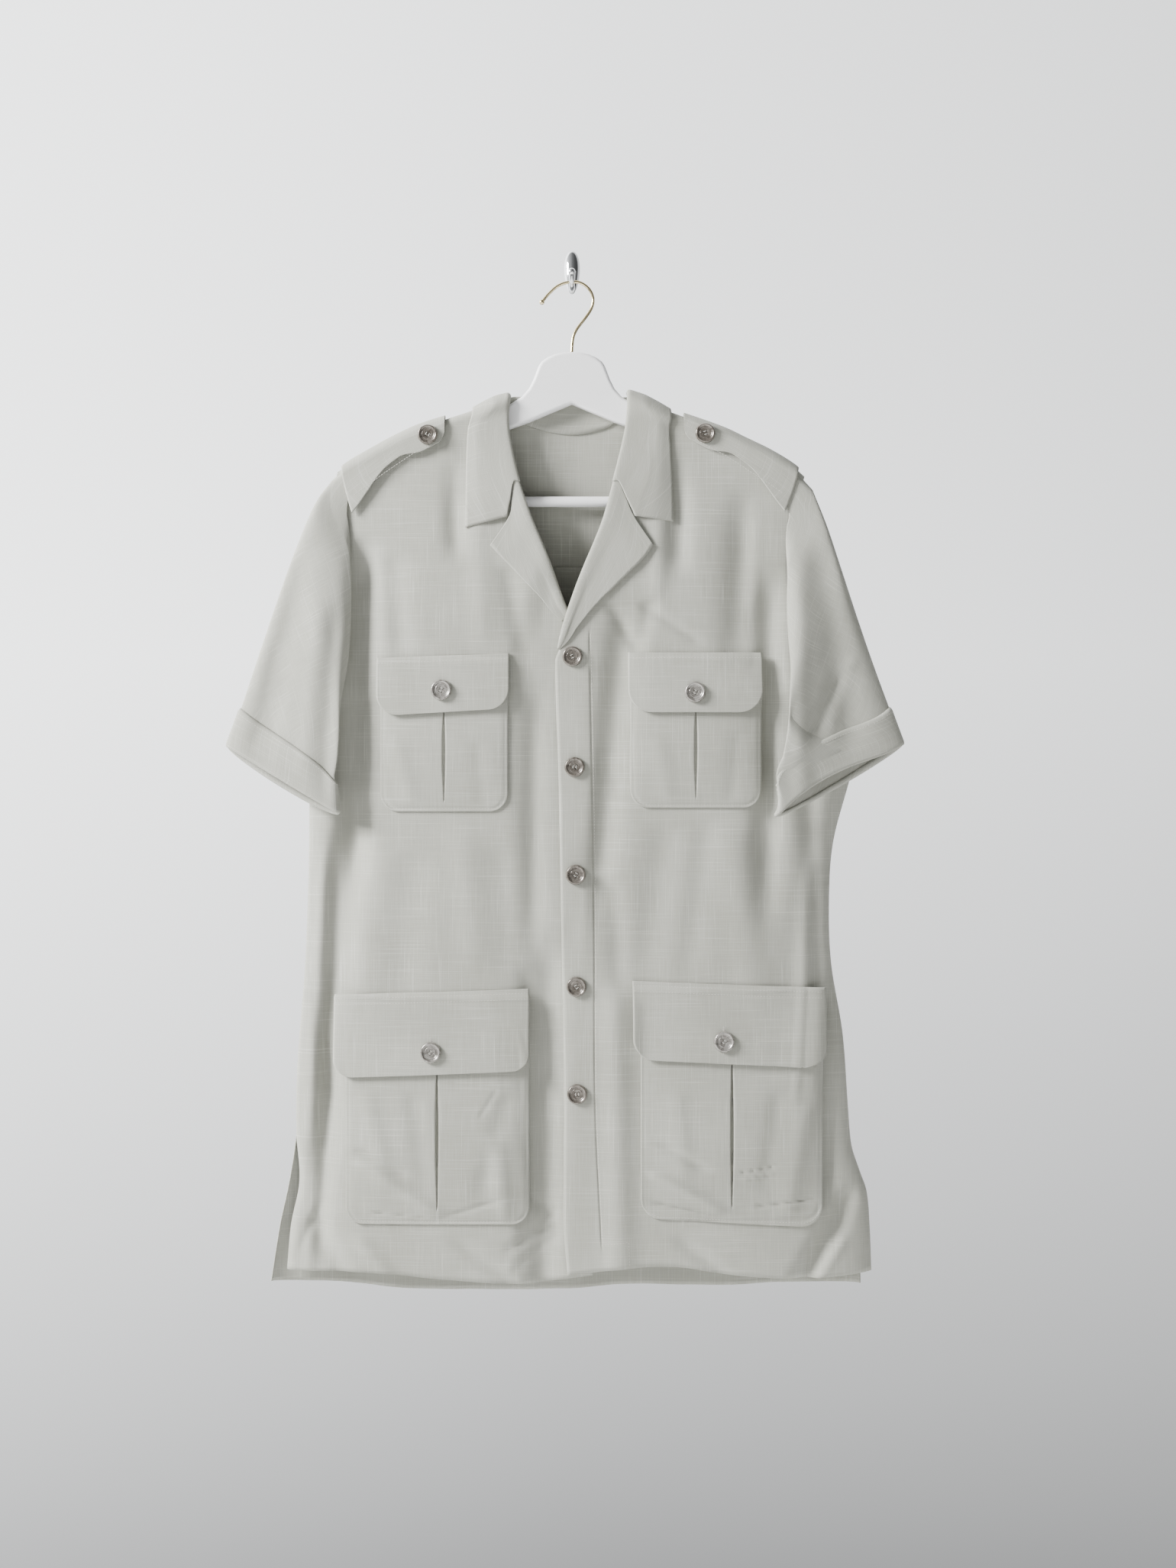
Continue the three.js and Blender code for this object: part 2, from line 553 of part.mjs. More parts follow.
// Rings moved out square to themselves, away from their own middle.
function moveOut(rings, out) {
  return rings.map((ring, i) =>
    ring.map((p, j) => {
      const up = rings[Math.min(i + 1, rings.length - 1)][j].clone().sub(rings[Math.max(i - 1, 0)][j]);
      const n = ring.length;
      const across = ring[(j + 1) % n].clone().sub(ring[(j + n - 1) % n]);
      const normal = up.cross(across).normalize();
      const middle = ring.reduce((sum, q) => sum.add(q), new THREE.Vector3()).divideScalar(n);
      const away = Math.sign(normal.dot(p.clone().sub(middle))) || 1;
      return p.clone().addScaledVector(normal, away * out);
    }),
  );
}
function cuffBand(side) {
  const last = sleeveRings[side].length - 1;
  const rings = [0, 1].map((t) => sleeveRing(side, mix(cuff.from, last, t)));
  return wall(moveOut(rings, layer + cuff.proud / 2), cloth, true);
}
add("cuff_left", cuffBand("left"), clothLook);
add("cuff_right", cuffBand("right"), clothLook);

// A turned edge: from the front's own edge out towards the middle and back over it, then across to the
// rest.
const turnAcross = [0, 2.2, 1.6, -3];
const turnOut = [0, 1.6, 4, 4.4];
function turnedRow(side, rollZ, rest) {
  const sign = signOf[side];
  const edge = along(innerEdge[side], "z", "out", rollZ) - cloth / 2 - gap;
  const start = turnAcross.map((a, k) => {
    const base = onFront(sign * (edge + 2), rollZ, turnOut[k]);
    return new THREE.Vector3(sign * (edge - a), base.y, rollZ);
  });
  return [...start, ...rest];
}

function lapel(side) {
  const sign = signOf[side];
  const rows = lapelTable[side].map((r) => {
    const start = along(innerEdge[side], "z", "out", r.rollZ) - turnAcross[3];
    const near = [mix(start, r.midX, 0.5), mix(r.rollZ, r.midZ, 0.5)];
    const places = [near, [r.midX, r.midZ], [r.tipX, r.tipZ]];
    const rest = places.map(([out, z], k) => onFront(sign * out, z, layer + 2 - 0.3 * k));
    return turnedRow(side, r.rollZ, rest);
  });
  return wall(rows);
}
add("lapel_left", lapel("left"), clothLook);
add("lapel_right", lapel("right"), clothLook);

function collarHalf(side) {
  const sign = signOf[side];
  const rows = collarTable[side].map((r) => {
    const mid = overCrest(sign * r.midX, r.midW, layer + 1.6);
    const edge = overCrest(sign * r.edgeX, r.edgeW, layer + 1);
    const half = mid.clone().lerp(edge, 0.5);
    half.y -= 0.8;
    return turnedRow(side, r.rollZ, [mid, half, edge]);
  });
  for (const r of [...collarCrest, ...collarNape]) {
    const foot = r.footW ? overCrest(sign * (neckOut[side] - 2.2), r.footW, 0) : napeFoot(side, r.in);
    const roll = foot.clone().add(new THREE.Vector3(sign * r.rise[0], r.rise[1], r.rise[2]));
    const over = roll.clone().add(new THREE.Vector3(sign * r.over[0], r.over[1], r.over[2]));
    const edge = overCrest(sign * r.edgeX, r.edgeW, layer + 1.6);
    const mid = over.clone().lerp(edge, 0.35);
    const half = over.clone().lerp(edge, 0.7);
    for (const p of [mid, half]) p.addScaledVector(liftAt(r.edgeW), 2);
    rows.push([foot, foot.clone().lerp(roll, 0.6), roll, over, mid, half, edge]);
  }
  return rows;
}
// A place just inside the back neck's seam, a distance in from its end, or at the middle for 0.
function napeFoot(side, inside) {
  const x = inside ? signOf[side] * (neckOut[side] - inside) : 0;
  const z = along(backNeck, "x", "z", x);
  const away = new THREE.Vector3(-x, 0, -92 - z).setLength(2.6);
  return new THREE.Vector3(x, backY(x, z), z).add(away);
}
// The way out of the cloth at a place counted over the crest.
function liftAt(w) {
  const turn = clamp(w / body.crestRadius, -Math.PI / 2, Math.PI / 2);
  return new THREE.Vector3(0, -Math.sin(turn), Math.cos(turn));
}
function collar() {
  const left = collarHalf("left");
  const right = collarHalf("right");
  return wall([...left, ...right.slice(0, -1).reverse()]);
}
add("collar", collar(), clothLook);

// How far a pocket stands out from the front at a place: flat at its edges, fuller in the middle, dipped
// at the pleat.
function pocketOut(pocket, x, z) {
  const across = clamp((x - pocket.x) / pocket.half, -1, 1);
  const down = clamp((pocket.top - z) / (pocket.top - pocket.foot), 0, 1);
  const full = (1 - across ** 4) * Math.sin(Math.PI * clamp(down * 0.9 + 0.1, 0, 1));
  const pleat = Math.exp(-(((x - pocket.x) / 3) ** 2)) * smooth((0.93 - down) / 0.05);
  return layer + 0.2 + (0.9 + pocket.sag * down) * full - 0.9 * pleat * full;
}
function roundedHalf(piece, z) {
  const above = z - piece.foot;
  const r = piece.round;
  return piece.half - (above < r ? r - Math.sqrt(Math.max(r * r - (r - above) ** 2, 0)) : 0);
}
// The rows of a patch from its top to its foot, closer together round its corners.
function patchHeights(piece, step) {
  const corner = piece.foot + piece.round;
  const rows = Math.max(Math.round((piece.top - corner) / step), 2);
  const heights = evenRows(rows).map((t) => mix(piece.top, corner, t));
  heights.splice(1, 0, piece.top - 7);
  for (const share of [0.5, 0.85, 1]) heights.push(corner - piece.round * share);
  return heights;
}
function patch(piece, places, outAt) {
  const grid = patchHeights(piece, 42).map((z) =>
    places.map((share) => {
      const half = roundedHalf(piece, z);
      const x = piece.x + share * half;
      const place = z + piece.skew * share * 0.5;
      return onFront(x, place, outAt(x, place));
    }),
  );
  return wall(grid);
}
const pleatPlaces = [-1, -0.8, -0.45, -0.08, 0, 0.08, 0.45, 0.8, 1];
for (const p of pockets) add(p.name, patch(p, pleatPlaces, (x, z) => pocketOut(p, x, z)), clothLook);

function flapOut(flap, x, z) {
  const pocket = pockets[flap.pocket];
  const over = pocketOut(pocket, x, Math.min(z, pocket.top)) + layer + 0.9;
  return mix(layer + 0.1, over, smooth((flap.top - z) / 6));
}
const flapPlaces = [-1, -0.82, -0.45, 0, 0.45, 0.82, 1];
for (const f of flaps) add(f.name, patch(f, flapPlaces, (x, z) => flapOut(f, x, z)), clothLook);

// An epaulette: over the crest from its rounded inner end to the sleeve's seam.
function epauletteOut(side, x) {
  const e = epaulettes[side];
  const t = clamp((Math.abs(x) - e.inner) / (e.outer - e.inner), 0, 1);
  return layer + 1.9 + e.lift * Math.sin(Math.PI * (0.1 + 0.8 * t));
}
function epaulette(side) {
  const e = epaulettes[side];
  const sign = signOf[side];
  const shares = [0, 0.025, 0.07, 0.25, 0.5, 0.75, 1];
  const rounding = [0.45, 0.78, 1, 1, 1, 1, 1];
  const grid = shares.map((t, k) => {
    const middle = mix(7, 16, t);
    const half = mix(e.halfInner, e.halfOuter, t) * rounding[k];
    return [0, 0.12, 0.24, 0.36, 0.48, 0.62, 0.8, 1].map((b) => {
      const x = sign * mix(e.inner, e.outer - e.slant * b * b, t);
      return overCrest(x, middle + (2 * b - 1) * half, epauletteOut(side, x));
    });
  });
  return wall(grid);
}
add("epaulette_left", epaulette("left"), clothLook);
add("epaulette_right", epaulette("right"), clothLook);

// A round button with a raised rim, its flat back at 0 and its face up +Z.
function buttonGeometry(radius) {
  const { height, rim, sides } = button;
  const profile = [
    [0, 0], [radius - 0.8, 0], [radius, 0.9], [radius, height - 0.6], [radius - 0.5, height],
    [radius - rim, height], [radius - rim - 0.6, height - 1.1], [0, height - 1.1],
  ].map(([x, y]) => new THREE.Vector2(x, y));
  const turned = new THREE.LatheGeometry(profile, sides).rotateX(Math.PI / 2);
  return solidGeometry(turned);
}
function manifoldOf(geometry) {
  const bare = geometry.clone();
  for (const name of ["normal", "uv"]) bare.deleteAttribute(name);
  const merged = mergeVertices(bare, 1e-3);
  return new wasm.Manifold(
    new wasm.Mesh({
      numProp: 3,
      vertProperties: merged.attributes.position.array,
      triVerts: new Uint32Array(merged.index.array),
    }),
  );
}
function geometryOf(solid) {
  const mesh = solid.getMesh();
  return new THREE.BufferGeometry()
    .setAttribute("position", new THREE.BufferAttribute(mesh.vertProperties, 3))
    .setIndex(new THREE.BufferAttribute(mesh.triVerts, 1));
}
const solidGeometry = (geometry) => geometryOf(manifoldOf(geometry));

// Seats a button on cloth given by a function of a place round the button, clear of its highest point.
function addButton(name, radius, surface) {
  const middle = surface(0, 0);
  const normal = surface(2, 0).sub(surface(-2, 0)).cross(surface(0, 2).sub(surface(0, -2))).normalize();
  if (normal.y > 0) normal.negate();
  let high = 0;
  for (let k = 0; k < 12; k++) {
    const turn = (k / 12) * 2 * Math.PI;
    const p = surface(radius * Math.cos(turn), radius * Math.sin(turn));
    high = Math.max(high, p.sub(middle).dot(normal));
  }
  const mesh = add(name, buttonGeometry(radius), buttonLook);
  mesh.position.copy(middle).addScaledVector(normal, cloth / 2 + gap + high);
  mesh.quaternion.setFromUnitVectors(new THREE.Vector3(0, 0, 1), normal);
}
frontButtons.forEach(([x, z], k) => {
  const surface = (a, b) => new THREE.Vector3(x + a, frontY(x + a, z + b), z + b);
  addButton("front_button_" + (k + 1), button.radius, surface);
});
flaps.forEach((f) => {
  const [x, z] = f.button;
  const surface = (a, b) => onFront(x + a, z + b, flapOut(f, x + a, z + b));
  addButton(f.name.replace("flap", "button"), button.flapRadius, surface);
});
for (const side of ["left", "right"]) {
  const e = epaulettes[side];
  const x = signOf[side] * e.button;
  const surface = (a, b) => overCrest(x + a, e.buttonW - b, epauletteOut(side, x + a));
  addButton("epaulette_button_" + side, button.radius, surface);
}

const hanger = {
  thick: 11,
  soft: 3.5, // rounding of its edges
  under: 1, // from the crest's cloth down to the arm
  tip: 209,
  barRadius: 5,
  barZ: -204.7,
  barEnd: 187,
  wire: 1.5,
};
// The wooden arch and arms, cut from a board with rounded edges.
function hangerBody() {
  const bell = [
    [0, -62], [16, -64], [28.7, -70.5], [33.5, -79], [36.5, -88], [41, -97], [47.5, -104.5], [60, -112.5],
  ];
  const under = cloth / 2 + hanger.under;
  const arms = [100, 145, 167, 190, hanger.tip].map((x) => [x, crestZ(x) - under]);
  const foot = [
    [hanger.tip + 1, -182], [hanger.tip - 1, -210], [hanger.tip - 4, -214], [hanger.barEnd + 4, -214],
    [hanger.barEnd + 0.3, -210], [hanger.barEnd + 0.3, -199], [178, -190], [120, -158], [62,
    -134.5], [20, -114],
  ];
  const half = [...bell, ...arms, ...foot];
  const shape = new THREE.Shape();
  shape.moveTo(...half[0]);
  for (const [x, z] of half.slice(1)) shape.lineTo(x, z);
  shape.lineTo(0, -108);
  for (const [x, z] of [...half].reverse().slice(0, -1)) shape.lineTo(-x, z);
  const settings = {
    depth: hanger.thick - 2 * hanger.soft,
    bevelThickness: hanger.soft,
    bevelSize: hanger.soft,
    bevelOffset: -hanger.soft,
    bevelSegments: 3,
  };
  const board = new THREE.ExtrudeGeometry(shape, settings);
  const backFace = hangerY + hanger.thick / 2 - hanger.soft;
  return solidGeometry(board.rotateX(Math.PI / 2).translate(0, backFace, 0));
}
add("hanger_body", hangerBody(), paintLook);
const bar = new THREE.CylinderGeometry(hanger.barRadius, hanger.barRadius, 2 * hanger.barEnd, 20);
add("hanger_bar", solidGeometry(bar.rotateZ(Math.PI / 2).translate(0, hangerY, hanger.barZ)), paintLook);

// A round rod along a smooth curve through points.
function rod(points, radius, steps, sides = 10) {
  const path = new THREE.CatmullRomCurve3(points.map((p) => new THREE.Vector3(...p)));
  const section = new THREE.Shape().absarc(0, 0, radius, 0, 2 * Math.PI);
  const settings = { extrudePath: path, steps, curveSegments: sides / 2, bevelEnabled: false };
  return new THREE.ExtrudeGeometry(section, settings);
}
function hangerHook() {
  const route = [
    [0, -61.4], [0.4, -54], [1.6, -46.5], [4.8, -39.5], [12.4, -29.5], [18.8, -19.5], [20.4,
      -10.5], [16.8, -1.6],
    [8.6, 4.6], [-1.4, 5.6], [-13, 2], [-22.5, -6.2], [-28.6, -13.6],
  ].map(([x, z]) => [x, hangerY, z]);
  const wire = manifoldOf(rod(route, hanger.wire, 34, 8));
  const ball = new THREE.SphereGeometry(2.6, 10, 6).translate(-28.6, hangerY, -13.6);
  return geometryOf(wire.add(manifoldOf(ball)));
}
add("hanger_hook", hangerHook(), brassLook);

// The wall hook: a domed drop-shaped plate flat on the wall, and an arm that the wire rests on.
const wallHook = { half: 9, top: 44, foot: 2, thick: 7, taper: 0.3, arm: 2.7, reach: 44, tipZ: 13 };
function wallHookBody() {
  const { half, top, foot, thick, taper, arm, reach, tipZ } = wallHook;
  const drop = new THREE.SphereGeometry(1, 16, 12).rotateX(Math.PI / 2);
  const place = drop.attributes.position;
  for (let k = 0; k < place.count; k++) {
    const z = place.getZ(k);
    const narrow = 1 - (taper * (1 - z)) / 2;
    place.setXYZ(k, place.getX(k) * half * narrow, place.getY(k) * thick, mix(foot, top, (1 + z) / 2));
  }
  const wallSide = new THREE.BoxGeometry(60, 40, 120).translate(0, 20, 20);
  const dome = manifoldOf(drop).subtract(manifoldOf(wallSide));
  const rest = 5.6 - hanger.wire - gap - arm; // height of the arm's middle under the wire's crown
  const route = [
    [0, -3, 20], [0, -10, 9], [0, -21, rest + 0.8], [0, hangerY, rest], [0, 3 - reach, rest + 4],
    [0, -reach, tipZ],
  ];
  const bent = manifoldOf(rod(route, arm, 14, 8));
  const tip = manifoldOf(new THREE.SphereGeometry(arm + 0.8, 10, 7).translate(0, -reach, tipZ));
  return geometryOf(dome.add(bent).add(tip));
}
add("wall_hook", wallHookBody(), chromeLook);

export default shirt;
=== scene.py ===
import math
import bmesh
import bpy
import numpy as np
from mathutils import Matrix, Vector


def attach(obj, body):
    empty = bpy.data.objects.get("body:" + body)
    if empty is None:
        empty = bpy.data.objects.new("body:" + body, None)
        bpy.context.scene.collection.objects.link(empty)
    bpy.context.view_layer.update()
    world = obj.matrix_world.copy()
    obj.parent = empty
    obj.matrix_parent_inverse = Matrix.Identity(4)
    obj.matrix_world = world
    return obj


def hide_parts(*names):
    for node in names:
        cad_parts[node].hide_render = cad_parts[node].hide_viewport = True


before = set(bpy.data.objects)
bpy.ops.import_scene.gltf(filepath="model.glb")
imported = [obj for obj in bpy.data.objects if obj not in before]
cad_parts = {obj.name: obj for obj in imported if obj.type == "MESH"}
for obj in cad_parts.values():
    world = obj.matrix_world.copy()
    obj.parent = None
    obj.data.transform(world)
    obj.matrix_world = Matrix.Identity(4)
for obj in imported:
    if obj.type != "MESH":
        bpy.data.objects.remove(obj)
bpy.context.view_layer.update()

# Shapes are worked out in millimetres, with heights counted from hangDrop below the wall hook's middle.
hangDrop = 23.0
hangerY = -34.0  # plane of the hanger
clothGap = 1.5  # from the middle of one layer to the middle of the next
seamHalf = 0.45  # half the distance between front and back where they meet
underarm = -408.0
body = {
    "frontDepth": 21.0,
    "backDepth": 15.0,
    "crestRadius": 7.0,
    "fullBelow": 190.0,
    "crestBand": 46.0,
    "crestOut": 222.0,
    "hemOut": 275.0,
    "backHemOut": 285.0,
    "height": 820.0,
    "yokeSeam": -266.0,
    "wall": 1.0,
    "edgeRise": 11.0,  # half the shirt's depth at its sides, above the underarm
    "edgeSpan": 25.0,
    "foldFrom": 6.0,  # folds begin where the shirt is this deep
    "foldSpan": 8.0,
    "frontGain": 1.25,  # the large folds are this much deeper than their tables say
    "backGain": 1.15,
}
bridging = {"across": 14, "step": 4, "up": 16, "sharp": 2}  # what lies on the front spans its troughs
sides = {"left": -1, "right": 1}


def curve(*rows):  # a smooth curve through pairs of place and value
    rows = sorted(rows)
    places = np.array([r[0] for r in rows], float)
    values = np.array([r[1] for r in rows], float)
    last = len(rows) - 1
    low = np.maximum(np.arange(last + 1) - 1, 0)
    high = np.minimum(np.arange(last + 1) + 1, last)
    slopes = (values[high] - values[low]) / (places[high] - places[low])

    def at(place):
        place = np.clip(place, places[0], places[-1])
        i = np.clip(np.searchsorted(places, place, side="right") - 1, 0, last - 1)
        span = places[i + 1] - places[i]
        t = (place - places[i]) / span
        bend = span * t * (1 - t) * ((1 - t) * slopes[i] - t * slopes[i + 1])
        return values[i] + (values[i + 1] - values[i]) * t * t * (3 - 2 * t) + bend

    return at


def mix(a, b, t):
    return a + (b - a) * t


def ease(t):
    t = np.clip(t, 0, 1)
    return t * t * (3 - 2 * t)


crest = {
    "left": curve((0, -100), (55, -104.5), (64, -108.5), (100, -120), (146, -136), (171, -148),
                  (189, -157.5), (212, -170), (224, -178)),
    "right": curve((0, -100), (55, -104.5), (64, -108.5), (100, -121.5), (145, -138), (167, -148.5),
                   (190, -159.5), (212, -172.5), (222, -181)),
}
frontEdge = {
    "left": curve((-941, 272), (-896, 268), (-854, 260), (-805, 263), (-744, 262), (-636, 254),
                  (-496, 250.5), (-440, 254), (underarm, 258), (-390, 247), (-365, 230), (-335, 219),
                  (-300, 214), (-245, 212), (-222, 215), (-204, 222), (-178, 224)),
    "right": curve((-941, 286), (-900, 284.5), (-864, 281.5), (-845, 275), (-820, 267), (-788, 264),
                   (-713, 258.5), (-645, 247.5), (-586, 245.5), (-530, 249.5), (-463, 267),
                   (underarm, 277), (-390, 257), (-365, 236), (-335, 218), (-300, 208), (-260, 205),
                   (-232, 205.5), (-212, 213), (-181, 222)),
}
backEdge = {
    "left": curve((-960, 289), (-896, 279), (-854, 270), (-805, 263), (-744, 262), (-636, 254),
                  (-496, 250.5), (-440, 254), (underarm, 258), (-390, 249), (-365, 236), (-335, 227),
                  (-300, 221), (-222, 219), (-178, 224)),
    "right": curve((-960, 276), (-864, 274), (-820, 267), (-788, 264), (-713, 258.5), (-645, 247.5),
                   (-586, 245.5), (-530, 249.5), (-463, 267), (underarm, 277), (-390, 265), (-365, 246),
                   (-335, 231), (-300, 222), (-222, 214), (-181, 222)),
}
innerEdge = {
    "left": curve((-945, -20), (-348, -17), (-330, -8), (-313, 5.5), (-260, 25.5), (-202, 48.5),
                  (-139, 63), (-109, 63.5)),
    "right": curve((-941, -4), (-889, -7.5), (-781, -7), (-624, -9.5), (-467, -12.5), (-358, -15.5),
                   (-348, -12), (-313, -1.5), (-276, 12), (-227, 32), (-197, 40), (-139, 54),
                   (-109, 57)),
}
frontHem = curve((-272, -938), (-193, -938), (-130, -944), (-58, -948), (-6, -941), (56, -933), (101, -932),
                 (142, -939), (216, -944), (286, -938))
backHem = curve((-289, -950), (-224, -953), (-146, -960), (-93, -962), (-6, -960), (58, -956), (110, -957),
                (276, -952))
backNeck = curve((-63, -108), (-58, -118), (-40, -130), (0, -137.5), (36, -130), (52, -118), (57, -105.5))
neckOut = {"left": 63.0, "right": 57.0}

# Folds as x, z, to x, to z, width and depth: troughs, or ridges where the depth is negative.
frontFolds = [
    (-199, -228, -206, -530, 14, 9), (-206, -470, -236, -830, 15, 6), (-238, -520, -250, -800, 9, -3),
    (-113, -160, -110, -250, 10, 3), (103, -150, 101, -260, 11, 3.5), (168, -178, 158, -345, 17, 4),
    (188, -260, 184, -560, 13, 6), (52, -290, 26, -560, 15, 5), (-22, -610, -26, -945, 14, 5),
    (40, -640, 46, -945, 13, -3), (272, -852, 218, -950, 12, 7), (-250, -880, -215, -950, 12, 4),
]
softFolds = [  # smaller ones between them
    (-70, -520, -50, -680, 16, 1.8), (-150, -530, -162, -665, 20, 2), (-105, -505, -92, -640, 14, -1.5),
    (90, -505, 70, -650, 18, 2.4), (150, -505, 172, -662, 18, -2), (128, -500, 112, -640, 13, 1.6),
    (222, -455, 238, -640, 11, 4), (231, -520, 214, -760, 9, -3), (-170, -250, -162, -345, 12, 2.4),
    (-62, -262, -48, -345, 10, 2.2), (76, -296, 64, -345, 8, 1.8), (22, -420, 12, -620, 8, -1.2),
    (-34, -372, -37, -600, 10, 2.6), (-252, -640, -231, -770, 8, 3), (-118, -902, -56, -948, 9, 2.4),
    (96, -902, 150, -944, 10, 2.6), (-206, -900, -172, -942, 9, -2), (40, -560, 44, -660, 10, 2),
    (-58, -700, -46, -900, 8, 2.4), (250, -700, 244, -850, 8, 3), (176, -195, 172, -300, 8, -1.6),
    (-58, -934, -14, -902, 5, 2.4), (-46, -905, -16, -880, 5, 1.8), (-264, -925, -242, -880, 5, 2.4),
    (60, -300, 118, -338, 8, 1.6), (262, -900, 232, -948, 6, -2.2), (-224, -500, -240, -905, 8, 4.5),
    (-70, -920, -14, -892, 6, 2.2), (-68, -938, -20, -908, 5, -1.6),
    (-52, -858, -18, -884, 6, 1.8), (-44, -640, -30, -760, 9, 2), (34, -300, 60, -345, 7, 2.2),
    (-90, -195, -84, -330, 11, -1.4), (84, -180, 82, -290, 9, -1.6), (-248, -800, -262, -935, 8, 3),
]
backFolds = [
    (-150, -200, -168, -960, 27, 6), (128, -240, 152, -960, 30, 6), (-30, -300, 6, -960, 26, 5),
    (210, -300, 222, -820, 17, 4), (-84, -420, -96, -960, 18, -3),
]
softBackFolds = [
    (-205, -420, -228, -700, 13, 4), (70, -300, 78, -720, 16, -3), (-112, -330, -124, -600, 12, 2.5),
    (40, -520, 58, -940, 14, 3), (178, -520, 190, -930, 13, -2.5), (-55, -640, -40, -955, 13, 3),
    (236, -470, 214, -640, 10, 3), (-238, -760, -252, -945, 10, 3), (-20, -150, -26, -255, 16, 1.5),
    (120, -185, 132, -262, 14, 1.8), (-130, -180, -142, -262, 12, 1.6),
]


def crestZ(x):
    return np.where(x < 0, crest["left"](abs(x)), crest["right"](abs(x)))


def foldDepth(folds, x, z):
    total = np.zeros(np.broadcast(x, z).shape)
    for fromX, fromZ, toX, toZ, width, depth in folds:
        t = (z - fromZ) / (toZ - fromZ)
        middle = mix(fromX, toX, np.clip(t, 0, 1))
        ends = ease(t / 0.2) * ease((1.25 - t) / 0.35)
        total = total + depth * ends * np.exp(-(((x - middle) / width) ** 2))
    return total


def halfDepth(x, z, edges, full):
    below = np.maximum(crestZ(x) - z, 0)
    r = body["crestRadius"]
    cap = np.where(
        below < r,
        np.sqrt(np.maximum(r * r - (r - np.minimum(below, r)) ** 2, 0)),
        r + (full - r) * ease((below - r) / body["fullBelow"]),
    )
    out = np.where(x < 0, edges["left"](z), edges["right"](z))
    s = np.clip(abs(x) / out, 0, 1)
    edge = np.minimum(ease((z - underarm) / body["edgeSpan"]) * body["edgeRise"], cap)
    return seamHalf + edge + (cap - edge) * np.sqrt(1 - s**4)


def frontY(x, z):
    depth = halfDepth(x, z, frontEdge, body["frontDepth"])
    folds = foldDepth(frontFolds, x, z) * body["frontGain"] + foldDepth(softFolds, x, z)
    return hangerY - depth + ease((depth - body["foldFrom"]) / body["foldSpan"]) * folds


def backY(x, z):
    depth = halfDepth(x, z, backEdge, body["backDepth"])
    folds = foldDepth(backFolds, x, z) * body["backGain"] + foldDepth(softBackFolds, x, z)
    return hangerY + depth - ease((depth - body["foldFrom"]) / body["foldSpan"]) * folds


def bridgedY(x, z):  # the front as what lies on it feels it, spanning the troughs
    across = bridging["across"]
    places = [(step, 0) for step in range(-across, across + 1, bridging["step"])]
    places += [(0, -bridging["up"]), (0, bridging["up"])]
    near = [frontY(x + right, z + up) for right, up in places]
    sharp = bridging["sharp"]
    soft = -np.log(np.mean([np.exp(-sharp * (y - near[0])) for y in near], axis=0)) / sharp + near[0]
    return np.minimum(soft, frontY(x, z))


def outFrom(surface, span, x, z, out):  # places on a surface that gives y, moved out square to it
    x, z, out = np.broadcast_arrays(np.asarray(x, float), z, out)
    slopeX = (surface(x + span, z) - surface(x - span, z)) / (2 * span)
    slopeZ = (surface(x, z + span) - surface(x, z - span)) / (2 * span)
    long = np.sqrt(slopeX**2 + slopeZ**2 + 1)
    return np.stack([x + out * slopeX / long, surface(x, z) - out / long, z + out * slopeZ / long], -1)


def onFront(x, z, out):
    return outFrom(bridgedY, 4, x, z, out)


def onPlain(x, z, out):  # the same on the front's own face
    return outFrom(frontY, 2, x, z, out)


def overCrest(x, w, out):  # w is the way down over the cloth, on the front above 0 and on the back below 0
    x, w, out = np.broadcast_arrays(np.asarray(x, float), w, out)
    r = body["crestRadius"]
    quarter = r * math.pi / 2
    far = abs(w)
    turn = np.minimum(far / r, math.pi / 2)
    z = crestZ(x) - np.where(far < quarter, r * (1 - np.cos(turn)), r + far - quarter)
    y = np.where(w > 0, frontY(x, z), backY(x, z))
    return np.stack([x, y + np.where(w > 0, -1, 1) * out * np.sin(turn), z + out * np.cos(turn)], -1)


def clothPlaces(points):  # lengths over the cloth, across and down, in metres
    across = np.zeros(points.shape[:2])
    across[:, 1:] = np.cumsum(np.linalg.norm(np.diff(points, axis=1), axis=-1), axis=1)
    middle = points.shape[1] // 2
    across = across - across[:, middle : middle + 1]
    down = np.zeros(points.shape[:2])
    down[1:] = np.cumsum(np.linalg.norm(np.diff(points, axis=0), axis=-1), axis=0)
    return np.stack([across, -down], -1) / 1000


def smoothGrid(control, step):  # a finer grid through a coarse one
    def finer(grid):
        lengths = np.linalg.norm(np.diff(grid, axis=0), axis=-1).mean(axis=1)
        places = np.concatenate([[0], np.cumsum(lengths)])
        wanted = []
        for i, length in enumerate(lengths):
            count = max(int(round(length / step)), 3)
            wanted += [mix(places[i], places[i + 1], k / count) for k in range(count)]
        wanted = np.array([*wanted, places[-1]])
        flat = grid.reshape(len(grid), -1)
        columns = [curve(*zip(places, column))(wanted) for column in flat.T]
        return np.stack(columns, -1).reshape(len(wanted), *grid.shape[1:])

    tall = finer(np.asarray(control, float))
    return finer(tall.swapaxes(0, 1)).swapaxes(0, 1)


def smoothFaces(bm):
    for face in bm.faces:
        face.smooth = True


def gridMesh(spots, shape):  # a grid laid over spots in metres, row by row
    rows, columns = shape
    bm = bmesh.new()
    bmesh.ops.create_grid(bm, x_segments=columns - 1, y_segments=rows - 1, size=1)
    for vert, spot in zip(bm.verts, spots):
        vert.co = spot
    smoothFaces(bm)
    return bm


def closeSeams(bm):
    bmesh.ops.remove_doubles(bm, verts=bm.verts, dist=1e-6)


def bead(bm, middle, radius, around, rings):  # a sphere, in millimetres
    bmesh.ops.create_uvsphere(bm, u_segments=around, v_segments=rings, radius=radius / 1000,
                              matrix=Matrix.Translation(toMetres(np.array(middle))))


